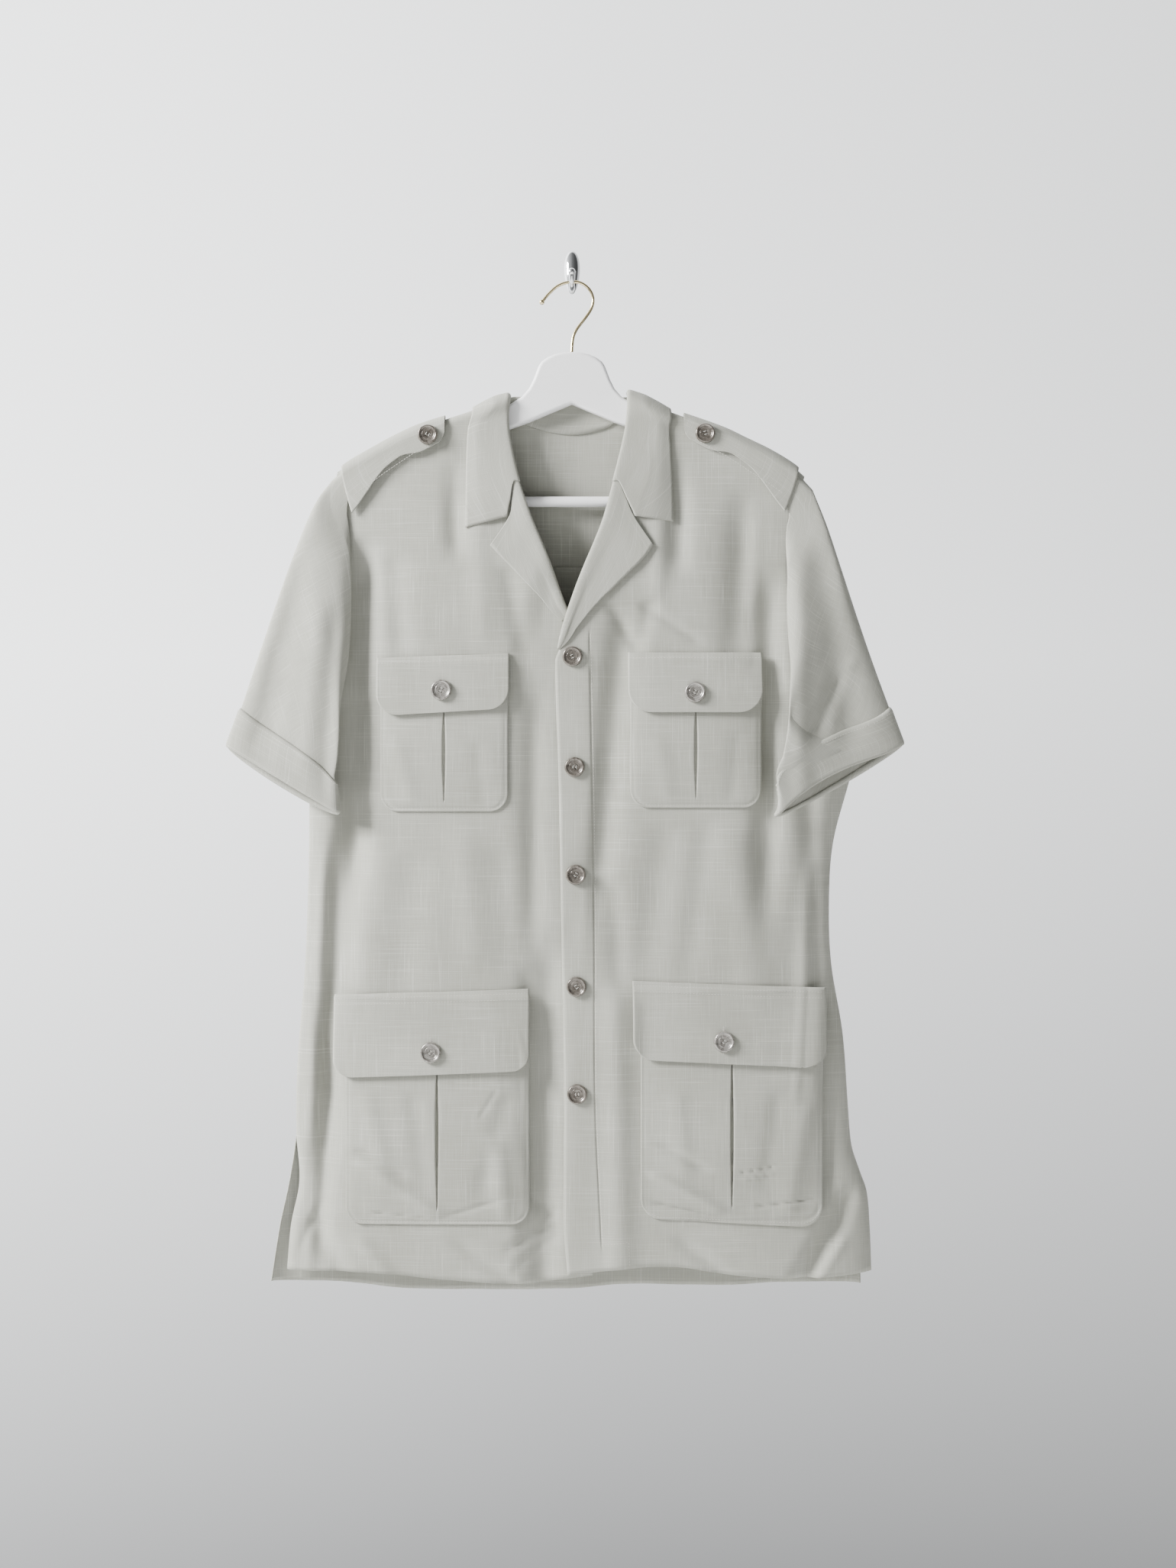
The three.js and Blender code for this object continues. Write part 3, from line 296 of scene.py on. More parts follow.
def meshPiece(name, bm, material, nodes=()):
    mesh = bpy.data.meshes.new(name)
    bm.to_mesh(mesh)
    bm.free()
    piece = bpy.data.objects.new(name, mesh)
    bpy.context.scene.collection.objects.link(piece)
    mesh.materials.append(material)
    if nodes:
        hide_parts(*nodes)
    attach(piece, "root")
    return piece


def toMetres(points):
    return (points - np.array([0, 0, hangDrop])) / 1000


def clothPiece(node, points, rests, places=None, wall=None, ring=False):
    places = clothPlaces(points) if places is None else places
    bm = gridMesh(toMetres(points).reshape(-1, 3), points.shape[:2])
    layout = bm.loops.layers.uv.new("cloth")
    for vert, place in zip(bm.verts, places.reshape(-1, 2)):
        for loop in vert.link_loops:
            loop[layout].uv = place
    if ring:
        closeSeams(bm)
    piece = meshPiece(node + "_cloth", bm, clothFinish, [node])
    solid = piece.modifiers.new("wall", "SOLIDIFY")
    solid.thickness = (wall or body["wall"]) / 1000
    solid.offset = 0


# Shader expressions: a wire is a node's output, and arithmetic on wires adds Math nodes.
class Wire:
    def __init__(self, finish, socket):
        self.finish = finish
        self.socket = socket

    def math(self, operation, a, b):
        return self.finish.node("Math", {"operation": operation}, {0: a, 1: b})

    def __add__(self, other):
        return self.math("ADD", self, other)

    __radd__ = __add__

    def __mul__(self, other):
        return self.math("MULTIPLY", self, other)


class Finish:
    def __init__(self, name, **fixed):
        self.material = bpy.data.materials.new(name)
        self.material.use_nodes = True
        self.tree = self.material.node_tree
        self.shader = self.tree.nodes["Principled BSDF"]
        for socket, value in fixed.items():
            self.shader.inputs[socket.replace("_", " ")].default_value = value

    def node(self, kind, settings=None, sockets=None, out=0):
        made = self.tree.nodes.new("ShaderNode" + kind)
        for key, value in (settings or {}).items():
            if key == "stops":
                ramp = made.color_ramp
                while len(ramp.elements) < len(value):
                    ramp.elements.new(0.5)
                for element, (place, shade) in zip(ramp.elements, value):
                    element.position = place
                    element.color = shade if hasattr(shade, "__len__") else (shade, shade, shade, 1)
            else:
                setattr(made, key, value)
        for key, value in (sockets or {}).items():
            self.feed(made.inputs[key], value)
        return Wire(self, made.outputs[out])

    def feed(self, socket, value):
        if isinstance(value, Wire):
            self.tree.links.new(value.socket, socket)
        else:
            socket.default_value = value

    def set(self, **wires):
        for socket, value in wires.items():
            self.feed(self.shader.inputs[socket.replace("_", " ")], value)
        return self.material


def stretched(finish, source, scale, shift=(0, 0, 0)):
    return finish.node("Mapping", {"vector_type": "POINT"},
                       {"Vector": source, "Scale": scale, "Location": shift})


clothLook = {
    "shade": (0.33, 0.33, 0.285, 1),  # darker yarn tone, also painted shade in the hollows of the relief
    "light": (0.50, 0.50, 0.45, 1),  # paler yarn tone, also painted highlight on the tops of the relief
    "pitch": 0.00062,  # between yarns, in metres
    "relief": 0.00011,
    "slubs": ((1500, 30, 3.1), (22, 1500, 8.7)),  # how often the shade changes across and down, per metre
    "longYarns": ((900, 14, 1.7), (11, 900, 5.3)),  # a few thicker, paler yarns
    "cloud": (14, 9, 1),
}


def makeClothFinish(name):
    look = clothLook
    finish = Finish(name, Sheen_Weight=0.12, Sheen_Roughness=0.5, Specular_IOR_Level=0.25)
    uv = finish.node("UVMap", {"uv_map": "cloth"})

    def streaks(across, down, shift, detail, roughness):
        place = stretched(finish, uv, (across, down, 1), (shift, shift, 0))
        return finish.node("TexNoise", {"noise_dimensions": "2D"},
                           {"Vector": place, "Scale": 1.0, "Detail": detail, "Roughness": roughness})

    slubs = [streaks(*yarn, 2.0, 0.6) for yarn in look["slubs"]]
    long = [finish.node("ValToRGB", {"stops": ((0.67, 0.0), (0.75, 1.0))}, {"Fac": streaks(*yarn, 1.0, 0.5)})
            for yarn in look["longYarns"]]
    waves = {"Vector": uv, "Scale": 0.157 / look["pitch"], "Distortion": 0.4, "Detail": 1.0,
             "Detail Scale": 30.0}
    weave = [finish.node("TexWave", {"bands_direction": way, "wave_profile": "SIN"}, waves) for way in "XY"]
    cloud = finish.node("TexNoise", {},
                        {"Vector": stretched(finish, uv, look["cloud"]), "Scale": 1.0, "Detail": 3.0})
    # The colour follows mostly the same slubs, long yarns and weave as the bump's height, so besides the
    # yarns' own tone the hollows get painted shade and the tops painted highlight.
    slub = slubs[0] * 0.55 + slubs[1] * 0.45
    value = slub * 0.5 + cloud * 0.38 + (long[0] + long[1]) * 0.2 + (weave[0] * weave[1]) * 0.06
    ramp = finish.node("ValToRGB", {"stops": ((0.36, look["shade"]), (0.78, look["light"]))}, {"Fac": value})
    height = slubs[0] * 0.5 + slubs[1] * 0.5 + (weave[0] + weave[1]) * 0.25 + (long[0] + long[1]) * 0.3
    bump = finish.node("Bump", {}, {"Height": height, "Distance": look["relief"], "Strength": 0.8})
    return finish.set(Base_Color=ramp, Roughness=0.80 + slub * 0.2, Normal=bump)


clothFinish = makeClothFinish("stoneCloth")
print("cloth finish made")

# The two fronts and the back hang from the shoulders to the hem.
panelLook = {"columns": 112, "rows": 236, "topCluster": 1.35, "edgeCluster": 1.3, "fine": (0.088, 0.126, 18),
             "yokeRows": 60, "yokeCluster": 1.6, "backRows": 190, "backHalf": 74}
facing = {  # the line where the right front's facing is sewn down
    "line": curve((-912, 28), (-780.8, 22), (-624, 21), (-467.4, 18.8), (-329.5, 16.3)),
    "step": 0.4,
    "stepFrom": 1.2,
    "stepSpan": 2.4,
    "groove": 0.55,
    "grooveAt": 0.4,
    "grooveHalf": 0.9,
    "top": -325,
    "topSpan": 12,
    "end": -917,
    "endSpan": 8,
    "foot": ((28, -911), (41, -909.5), (54, -907.6), (54.5, -922), (55, -932)),
}


lap = {"reach": 50, "across": 28, "top": -250, "down": 30}


def lapDrop(x, z):  # how much deeper the left front lies under the right one
    sunk = ease((x - innerEdge["right"](z) + lap["reach"]) / lap["across"])
    return clothGap * 2 * sunk * ease((lap["top"] - z) / lap["down"])


def frontGrid(side):
    sign = sides[side]
    share = 1 - (1 - np.linspace(0, 1, panelLook["columns"])) ** panelLook["edgeCluster"]
    if side == "right":
        share = np.unique(np.concatenate([share, np.linspace(*panelLook["fine"])]))
    drop = body["height"] * np.linspace(0, 1, panelLook["rows"]) ** panelLook["topCluster"]
    share, drop = np.meshgrid(share, drop)
    band = body["crestBand"]
    top = crestZ(sign * mix(neckOut[side], body["crestOut"], share))
    hem = frontHem(sign * share * body["hemOut"])
    z = np.where(drop < band, top - drop, mix(top - band, hem, (drop - band) / (body["height"] - band)))
    x = sign * mix(innerEdge[side](z), frontEdge[side](z), share)
    y = frontY(x, z)
    if side == "left":
        y = y + lapDrop(x, z)
    else:
        beyond = x - facing["line"](z)
        held = ease((facing["top"] - z) / facing["topSpan"]) * ease((z - facing["end"]) / facing["endSpan"])
        y = y - held * facing["step"] * (1 - ease((beyond + facing["stepFrom"]) / facing["stepSpan"]))
        away = (beyond - facing["grooveAt"]) / facing["grooveHalf"]
        y = y + held * facing["groove"] * np.exp(-(away**2))
    return np.stack([x, y, z], -1)


def flatPlaces(points, shift):
    return np.stack([points[..., 0] + shift, points[..., 2]], -1) / 1000


for side, shift in (("left", 0), ("right", 700)):
    grid = frontGrid(side)
    clothPiece("front_" + side, grid, ["hanger_body"], flatPlaces(grid, shift))


def backGrid(rows, yoke):
    share = 1 - (1 - np.linspace(0, 1, panelLook["backHalf"])) ** panelLook["edgeCluster"]
    signed, t = np.meshgrid(np.concatenate([-share[:0:-1], share]), rows)
    across = signed * body["crestOut"]
    neck = np.where(signed < 0, neckOut["left"], neckOut["right"])
    top = np.where(abs(across) < neck, backNeck(across), crestZ(across))
    hem = backHem(signed * body["backHemOut"])
    z = mix(top, body["yokeSeam"], t) if yoke else mix(body["yokeSeam"], hem, t)
    x = signed * np.where(signed < 0, backEdge["left"](z), backEdge["right"](z))
    return np.stack([x, backY(x, z), z], -1)


yoke = backGrid(np.linspace(0, 1, panelLook["yokeRows"]) ** panelLook["yokeCluster"], True)
back = backGrid(np.linspace(0, 1, panelLook["backRows"]), False)
clothPiece("back_yoke", yoke, ["hanger_body"], flatPlaces(yoke, 1500))
clothPiece("back", back, ["hanger_body"], flatPlaces(back, 2300))
print("fronts and back made")

# Rings of a sleeve from the shoulder to its hem: its two edges, and how far its layers stand from the line
# between them. With pull the front is drawn in to where it folds over, with lean less so near the outer edge,
# and drop is how much lower the back hangs.
ringNames = ("outX", "outZ", "outY", "inX", "inZ", "inY", "front", "back", "pull", "lean", "drop")
sleeveRows = {
    "left": (
        (229, -186, -35, 262, -417, -40, 17, 13, 1, 0, 0),
        (244, -208, -37, 256, -428, -44, 20, 14, 1, 0.3, 0),
        (262, -252, -39, 249, -441, -50, 20, 13, 1, 0.7, 0),
        (280, -303, -41, 241, -453, -55, 17, 11, 1, 1.1, 0),
        (297.5, -355, -43, 233, -465, -58, 14, 9, 0.9, 1.5, 1),
        (313.5, -403, -44, 224, -474, -60, 11, 7, 0.5, 2, 4),
        (326, -438, -45, 220, -501, -61, 10, 6, 0, 1, 8),
    ),
    "right": (
        (229, -194, -35, 284, -419, -42, 18, 13, 1, 0, 0),
        (242, -228, -37, 277, -430, -47, 21, 12, 1, 0.3, 0),
        (255, -268, -39, 268, -442, -56, 20, 5, 1, 0.7, 0),
        (270, -314, -41, 250, -454, -60, 16, 3, 1, 1.1, 0),
        (286, -361, -43, 233, -466, -62, 13, 6, 1, 1.2, 1),
        (301, -402, -44, 214, -478, -63, 11, 7, 0.95, 1.2, 3),
        (313.5, -436, -45, 193, -504, -64, 10, 6, 0.6, 1, 6),
    ),
}
sleeveFold = {  # where the front folds over, ring by ring
    "left": curve(*enumerate((209, 209, 208, 208, 210, 214, 220))),
    "right": curve(*enumerate((204, 197, 186, 181, 180, 177, 193))),
}
sleeveFolds = {  # on the front layer, and on the back one
    "left": ([(-252, -240, -286, -430, 13, 3.5), (-236, -290, -250, -455, 9, -2),
              (-276, -330, -300, -440, 8, 1.5), (-222, -300, -232, -470, 7, 1.8)],
             [(-246, -250, -282, -450, 14, 3), (-262, -330, -240, -470, 10, -2)]),
    "right": ([(232, -232, 262, -425, 15, 4), (214, -240, 216, -480, 9, -2.2), (254, -368, 230, -424, 7, 3),
               (266, -350, 246, -420, 6, -1.4)],
              [(250, -260, 280, -450, 14, 3), (268, -330, 238, -470, 9, -2)]),
}
sleeveCurves = {
    side: {name: curve(*[(k, row[c]) for k, row in enumerate(rows)]) for c, name in enumerate(ringNames)}
    for side, rows in sleeveRows.items()
}


armhole = {
    "top": {"left": -178.0, "right": -181.0},
    "off": clothGap + 1.1,  # from the middle of a panel to the middle of the sleeve over it
    "inside": 10,  # how far in the panel's depth is taken at the underarm
    "under": 10,  # how far it starts beneath the shoulder strap
    "underTo": 0.08,
    "underSpan": 0.12,
    "edgeIn": 2.4,
    "edgeOut": 5,
    "rise": 0.72,
}
sleeveLook = {"flat": 0.72, "flatShare": 0.4, "flatRows": 3, "frontSquare": 0.35, "backSquare": 0.8,
              "backGain": 1.2, "around": 138, "rows": 112}


def armholePoints(side, turn):
    sign = sides[side]
    look = armhole
    share = (1 - np.cos(turn)) / 2
    z = mix(look["top"][side], underarm, share)
    isFront = np.sin(turn) > 0
    edge = np.where(isFront, frontEdge[side](z), backEdge[side](z))
    fuller = sign * (edge - look["inside"] * share)
    raw = np.where(isFront, frontY(fuller, z) - look["off"], backY(fuller, z) + look["off"])
    bowed = ease(abs(np.sin(turn)) / 0.25)
    y = mix(hangerY, raw, bowed)
    lift = look["off"] * np.where(np.cos(turn) > 0, mix(1, 0.6 * np.cos(turn), bowed), -(1 - bowed))
    under = look["under"] * (1 - ease((share - look["underTo"]) / look["underSpan"]))
    x = sign * (edge - look["edgeIn"] + look["edgeOut"] * share - under)
    lift = lift + look["rise"] * under * (1 - ease(share / 0.05))
    return np.stack([x, y, z + lift], -1)


def ringPoints(side, row, turn):
    sign = sides[side]
    look = sleeveLook
    get = {name: at(row) for name, at in sleeveCurves[side].items()}
    share = (1 - np.cos(turn)) / 2
    sine = np.sin(turn)
    isFront = sine > 0
    fold = np.sqrt(abs(sine)) * ease((share - 0.02) / 0.3)
    pull = np.where(isFront, get["pull"] * fold * share ** get["lean"], 0)
    out = mix(mix(get["outX"], get["inX"], share), sleeveFold[side](row), pull)
    # Near the shoulder the front doesn't stand out yet.
    flatter = mix(look["flat"], 1, ease(share / look["flatShare"] + row / look["flatRows"]))
    backStand = get["back"] * np.sqrt(np.maximum(1 - share, 0)) * look["backGain"]
    stand = np.where(isFront, -get["front"] * flatter, backStand)
    square = np.where(isFront, look["frontSquare"], look["backSquare"])
    y = mix(get["outY"], get["inY"], share) + stand * abs(sine) ** square
    z = mix(get["outZ"], get["inZ"], share) - np.where(isFront, 0, abs(sine) * get["drop"])
    front, back = (foldDepth(folds, sign * out, z) for folds in sleeveFolds[side])
    y = y + ease(abs(sine) / 0.5) * np.where(isFront, front, -back)
    return np.stack([sign * out, y, z], -1)


def sleevePoints(side, row, turn):  # rows below 0 lead to the armhole, and rows over 6 go on past the hem
    row, turn = np.broadcast_arrays(row, turn)
    ring = ringPoints(side, np.clip(row, 0, 6), turn)
    joined = mix(armholePoints(side, turn), ring, np.clip(row + 1, 0, 1)[..., None])
    past = (ring - ringPoints(side, np.full(row.shape, 5.9), turn)) * 10
    return np.where((row > 6)[..., None], ring + past * (row - 6)[..., None], joined)


def turns(count):  # angles round a sleeve, closer together at its two edges
    even = np.linspace(0, 2 * math.pi, count)
    return even - 0.45 * np.sin(2 * even)


cuffLook = {  # rows of the sleeve round the turned edge and how far out they lie, then the band above
    "rows": (5.86, 5.97, 6.02, 6.045, 6.03, 5.99),
    "outs": (-1.0, -1.0, -0.5, 0.6, 1.6, 2.1),
    "band": (5.95, 5.0, 24),
    "out": 2.2,
    "lastOuts": (1.7, 0.7),
    "around": 150,
    "stitched": 5.12,
}


def cuffPoints(side, row, turn, out):  # places on the sleeve moved out square to it
    near = sleevePoints(side, row, turn)
    back = sleevePoints(side, row - 0.05, turn)
    ahead = sleevePoints(side, row, turn + 0.02)
    normal = np.cross(near - back, ahead - near)
    normal /= np.maximum(np.linalg.norm(normal, axis=-1, keepdims=True), 1e-9)
    return near - sides[side] * normal * np.asarray(out)[..., None]


for side in sides:
    turn, row = np.meshgrid(turns(sleeveLook["around"]), np.linspace(-1, 6, sleeveLook["rows"]))
    clothPiece("sleeve_" + side, sleevePoints(side, row, turn),
               ["front_" + side + "_cloth"], ring=True)
    band = np.linspace(*cuffLook["band"])
    outs = np.concatenate([cuffLook["outs"], np.full(len(band), cuffLook["out"])])
    outs[-2:] = cuffLook["lastOuts"]
    turn, row = np.meshgrid(turns(cuffLook["around"]), np.concatenate([cuffLook["rows"], band]))
    points = cuffPoints(side, row, turn, np.repeat(outs[:, None], cuffLook["around"], 1))
    clothPiece("cuff_" + side, points, ["sleeve_" + side + "_cloth"], ring=True)
print("sleeves and cuffs made")

# The collar and the lapels turn over the fronts' inner edges.
turnAcross = (0, 2.2, 1.6, -3)
turnOut = (0, 1.6, 4, 4.4)
collarLook = {"midOut": 3.3, "lowMidOut": 2.2, "lowFrom": 100, "bulge": 2.4,
              "way": (0.17, 0.31, 0.36, 0.42, 0.7, 1), "step": 2.2, "lapelStep": 1.8}
collarFront = {  # roll z, middle x, middle w, edge x, edge w
    "left": ((-187.5, 61, 118, 101, 115), (-164, 79, 72, 100.5, 78), (-142, 80, 40, 100, 44),
             (-126, 80, 20, 98.5, 21)),
    "right": ((-187.5, 60, 118, 97, 109), (-164, 73, 72, 95.5, 74), (-142, 73, 40, 94, 41),
              (-126, 74, 20, 93, 21)),
}
collarRound = (  # foot over the crest or inside the neck, rise to the roll, over the roll, edge x and w
    (9, None, (-2.5, -2, 2), (1, -2.2, 1.2), 95, 10),
    (2, None, (-2.6, -0.8, 4), (1.6, -1.6, 1.6), 94, 2),
    (-5, None, (-2.8, 1, 6.5), (2, 1, 1.6), 92.5, -6),
    (None, 3, (-2.5, 1.5, 11), (1.6, 2.6, 0.5), 90, -15),
    (None, 9, (-1.5, 2, 19), (1.5, 3.4, -0.5), 81, -31),
    (None, 27, (0.5, 2.5, 29), (0.5, 4, -1.5), 50, -53),
    (None, None, (0, 2.8, 35), (0, 4, -2), 0, -59),
)


def turnedRow(side, rollZ, rest, lift=1.0):
    sign = sides[side]
    edge = innerEdge[side](rollZ) - 0.9
    base = onFront(sign * (edge + 2), rollZ, np.array(turnOut) * lift)
    start = [(sign * (edge - a * lift), p[1], rollZ) for a, p in zip(turnAcross, base)]
    return np.array([*start, *rest])


def napeFoot(side, inside):
    x = sides[side] * (neckOut[side] - inside) if inside else 0.0
    z = float(backNeck(x))
    down = Vector((x, 0, 92 + z)).normalized() * 2.0  # it is sewn inside the yoke's edge
    return np.array([x, float(backY(x, z)) - 1.4, z]) + np.array(down)


def collarHalf(side):
    sign = sides[side]
    rows = []
    for rollZ, midX, midW, edgeX, edgeW in collarFront[side]:
        midOut = collarLook["lowMidOut" if midW > collarLook["lowFrom"] else "midOut"]
        mid = overCrest(sign * midX, midW, clothGap + midOut)
        edge = overCrest(sign * edgeX, edgeW, clothGap + 1)
        start = turnedRow(side, rollZ, [])[-1]
        rest = [mix(start, mid, 0.5), mix(start, mid, 0.88), mid, mix(mid, edge, 0.1) + (0, -0.25, 0),
                (mid + edge) / 2 + (0, -1, 0), edge]
        rows.append(turnedRow(side, rollZ, rest))
    for footW, inside, rise, over, edgeX, edgeW in collarRound:
        foot = overCrest(sign * (neckOut[side] - 1.3), footW, 0) if footW else napeFoot(side, inside)
        roll = foot + (sign * rise[0], rise[1], rise[2])
        top = roll + (sign * over[0], over[1], over[2])
        edge = overCrest(sign * edgeX, edgeW, clothGap + 1.6)
        turn = min(max(edgeW / body["crestRadius"], -math.pi / 2), math.pi / 2)
        lift = np.array((0, -math.sin(turn), math.cos(turn))) * collarLook["bulge"]
        fall = [mix(top, edge, t) + lift * math.sin(math.pi * min(t * 1.1, 1)) for t in collarLook["way"]]
        rows.append(np.array([foot, mix(foot, roll, 0.6), roll, top, *fall]))
    return rows


collarControl = np.array([*collarHalf("left"), *collarHalf("right")[:-1][::-1]])
clothPiece("collar", smoothGrid(collarControl, collarLook["step"]),
           ["front_left_cloth", "front_right_cloth", "back_yoke_cloth"], wall=1.5)

lapelRows = {  # roll z, how much of the roll is left, x and z of a place on the way and of the outer end
    "left": ((-186, 0.75, 58.5, -220, 77.3, -249), (-222, 1, 55, -246, 67.5, -259.5),
             (-246, 1, 45, -261, 55, -272), (-268, 1, 35, -279, 44, -283.5),
             (-292, 1, 22.5, -296.5, 29, -299), (-306, 0.9, 15.5, -309, 20, -310.5),
             (-317, 0.5, 5.5, -319, 8.5, -321)),
    "right": ((-186, 0.75, 58.5, -220, 77.8, -249), (-222, 1, 53, -246, 68, -261.5),
              (-246, 1, 41, -262, 54, -275), (-268, 1, 29, -279, 40, -288.5),
              (-292, 1, 15, -299, 23, -305), (-322, 0.9, 1.5, -325, 5, -327),
              (-336, 0.7, -4.5, -337.5, -2.5, -338.5), (-347, 0.2, -11.8, -347.3, -11.4, -347.5)),
}
for side, sign in sides.items():
    rows = []
    for rollZ, lift, midX, midZ, tipX, tipZ in lapelRows[side]:
        start = turnedRow(side, rollZ, [], lift)[-1][0] * sign
        near = (mix(start, midX, 0.5), mix(rollZ, midZ, 0.5))
        rest = [onFront(sign * x, z, (clothGap + 2 - 0.3 * k) * lift)
                for k, (x, z) in enumerate((near, (midX, midZ), (tipX, tipZ)))]
        rows.append(turnedRow(side, rollZ, rest, lift))
    grid = smoothGrid(np.array(rows), collarLook["lapelStep"])
    if side == "left":
        grid[..., 1] += lapDrop(grid[..., 0], grid[..., 2])
    clothPiece("lapel_" + side, grid, ["front_" + side + "_cloth"], wall=1.4)
print("collar and lapels made")

# Patch pockets and their flaps.
pockets = {
    "chest_pocket_left": {"x": -120.5, "top": -366, "foot": -500.5, "half": 60.5, "round": 17, "sag": 2,
                          "skew": 0},
    "chest_pocket_right": {"x": 117.5, "top": -362, "foot": -497, "half": 62, "round": 17, "sag": 2,
                           "skew": 0},
    "lower_pocket_left": {"x": -127, "top": -684, "foot": -891, "half": 87, "round": 16, "sag": 5,
                          "skew": 0},
    "lower_pocket_right": {"x": 151.5, "top": -677, "foot": -890, "half": 86.5, "round": 20, "sag": 6,
                           "skew": -8},
}
flaps = {
    "chest_flap_left": {"x": -121.5, "top": -353.5, "foot": -407, "half": 62.5, "round": 20, "skew": 5,
                        "rows": (5.0,), "pocket": "chest_pocket_left", "button": (-122.8, -386)},
    "chest_flap_right": {"x": 117, "top": -350.5, "foot": -407, "half": 63, "round": 22, "skew": 0,
                         "rows": (5.0,), "pocket": "chest_pocket_right", "button": (116.4, -388)},
    "lower_flap_left": {"x": -132, "top": -671.5, "foot": -749, "half": 91.5, "round": 16, "skew": 6,
                        "rows": (4.0, 9.5), "pocket": "lower_pocket_left", "button": (-132.7, -728)},
    "lower_flap_right": {"x": 148.5, "top": -664.5, "foot": -739, "half": 91, "round": 20, "skew": -7,
                         "rows": (4.0, 9.5), "pocket": "lower_pocket_right", "button": (143.7, -718)},
}


pocketFolds = [  # as the fronts' folds, but a depth above 0 stands out
    (-205, -828, -128, -880, 12, 2.4), (-202, -879, -120, -886, 6, -2.2), (-62, -866, -112, -882, 8, -1.3),
    (-208, -818, -160, -842, 9, -1.6), (-75, -800, -62, -884, 9, 1.6), (-60, -760, -84, -860, 10, -1.4),
    (-88, -792, -72, -766, 2.4, -0.7), (-196, -760, -176, -850, 10, 1.4), (-150, -760, -140, -850, 9, -1.2),
    (70, -838, 138, -876, 11, 2.4), (68, -868, 140, -884, 6, -2.2), (82, -812, 124, -838, 9, -1.6),
    (153, -843, 194, -836, 2, -1.5), (156, -849, 192, -842, 4, 0.9), (160, -876, 226, -868, 7, -1.8),
    (222, -770, 205, -880, 10, 1.6), (196, -760, 184, -850, 9, -1.3), (98, -760, 106, -840, 10, 1.2),
    (-168, -425, -150, -495, 9, 0.8), (-90, -430, -84, -495, 8, -0.7), (80, -425, 92, -490, 9, 0.8),
    (158, -420, 150, -490, 8, -0.7),
]
sewn = {"in": 2.6, "pinch": 0.8, "width": 1.1, "slit": (0.3, 1.5), "floor": 1.45}
patchLook = {"full": 1.1, "step": 1.9, "flapStep": 1.6, "flapWall": 1.3, "curl": 2.2, "stand": 1.3,
             "sink": 0.5, "slitColumns": (-4, -2.6, -2, -1.6, -1.25, -0.95, -0.7, -0.45, -0.2), "slitReach": 5}


def edgeDistance(p, x, z):  # how far inside a patch's sides and foot a place is
    corner = p["foot"] + p["round"]
    side = p["half"] - abs(x - p["x"])
    deep = np.hypot(np.maximum(p["round"] - side, 0), np.maximum(corner - z, 0))
    rounded = (z < corner) & (side < p["round"])
    return np.where(rounded, p["round"] - deep, np.minimum(side, z - p["foot"]))


def fullness(p, x, z):  # how far a pocket's cloth bulges, and how far down the pocket a place is
    across = np.clip((x - p["x"]) / p["half"], -1, 1)
    down = np.clip((p["top"] - z) / (p["top"] - p["foot"]), 0, 1)
    full = (1 - across**4) * np.sin(math.pi * np.clip(down * 0.9 + 0.1, 0, 1))
    return (patchLook["full"] + p["sag"] * down) * full, down


def pocketOut(p, x, z):
    full, down = fullness(p, x, z)
    inside = edgeDistance(p, x, z)
    level = clothGap + 0.2 + full + foldDepth(pocketFolds, x, z) * ease(inside / 14)
    level = level - sewn["pinch"] * np.exp(-(((inside - sewn["in"]) / sewn["width"]) ** 2))
    half = mix(*sewn["slit"], np.sin(math.pi * np.clip((down - 0.25) / 0.68, 0, 1)))
    slit = (1 - ease((abs(x - p["x"]) - half) / 0.5)) * ease((0.93 - down) / 0.01)
    return level - np.maximum(level - sewn["floor"], 0) * slit


def flapOut(f, x, z):
    full, _ = fullness(pockets[f["pocket"]], x, z)
    down = np.clip((f["top"] - z) / (f["top"] - f["foot"]), 0, 1)
    curl = np.clip(abs(x - f["x"]) / f["half"], 0, 1) ** 6 * patchLook["curl"] + patchLook["stand"]
    over = 2 * clothGap + 1.1 + full + curl * down**2
    sunk = sum(np.exp(-(((f["top"] - z - row) / 1.3) ** 2)) for row in f["rows"])
    return mix(clothGap + 0.1, over, ease((f["top"] - z) / 6)) - patchLook["sink"] * sunk


def patchGrid(p, outAt, step):
    corner = p["foot"] + p["round"]
    straight = np.linspace(p["top"], corner, int((p["top"] - corner) / step))
    turn = np.linspace(0, math.pi / 2, 14)[1:]
    z = np.concatenate([straight, corner - p["round"] * np.sin(turn)])
    half = np.concatenate([np.full(len(straight), p["half"]), p["half"] - p["round"] * (1 - np.cos(turn))])
    share = np.linspace(-1, 1, int(2 * p["half"] / step))
    if outAt is pocketOut:
        fine = np.array(patchLook["slitColumns"]) / p["half"]
        share = share[abs(share) > patchLook["slitReach"] / p["half"]]
        share = np.unique(np.concatenate([share, fine, [0], -fine]))
    share, z = np.meshgrid(share, z)
    x = p["x"] + share * half[:, None]
    place = z + p["skew"] * share * 0.5
    return onFront(x, place, outAt(p, x, place))


for name, p in pockets.items():
    grid = patchGrid(p, pocketOut, patchLook["step"])
    clothPiece(name, grid, ["front_" + name.split("_")[-1] + "_cloth"],
               flatPlaces(grid, 3100))
for name, f in flaps.items():
    grid = patchGrid(f, flapOut, patchLook["flapStep"])
    clothPiece(name, grid, [f["pocket"] + "_cloth"], flatPlaces(grid, 4100),
               wall=patchLook["flapWall"])
print("pockets and flaps made")

epaulettes = {
    "left": {"inner": 121, "outer": 220, "slant": 11, "button": 137, "lift": 2},
    "right": {"inner": 107, "outer": 217, "slant": 14, "button": 127, "lift": 1},
}
strapLook = {"halves": (17, 25), "middle": (7, 16), "tip": 14, "columns": 50, "drop": 12, "dip": 9,
             "wall": 1.4}


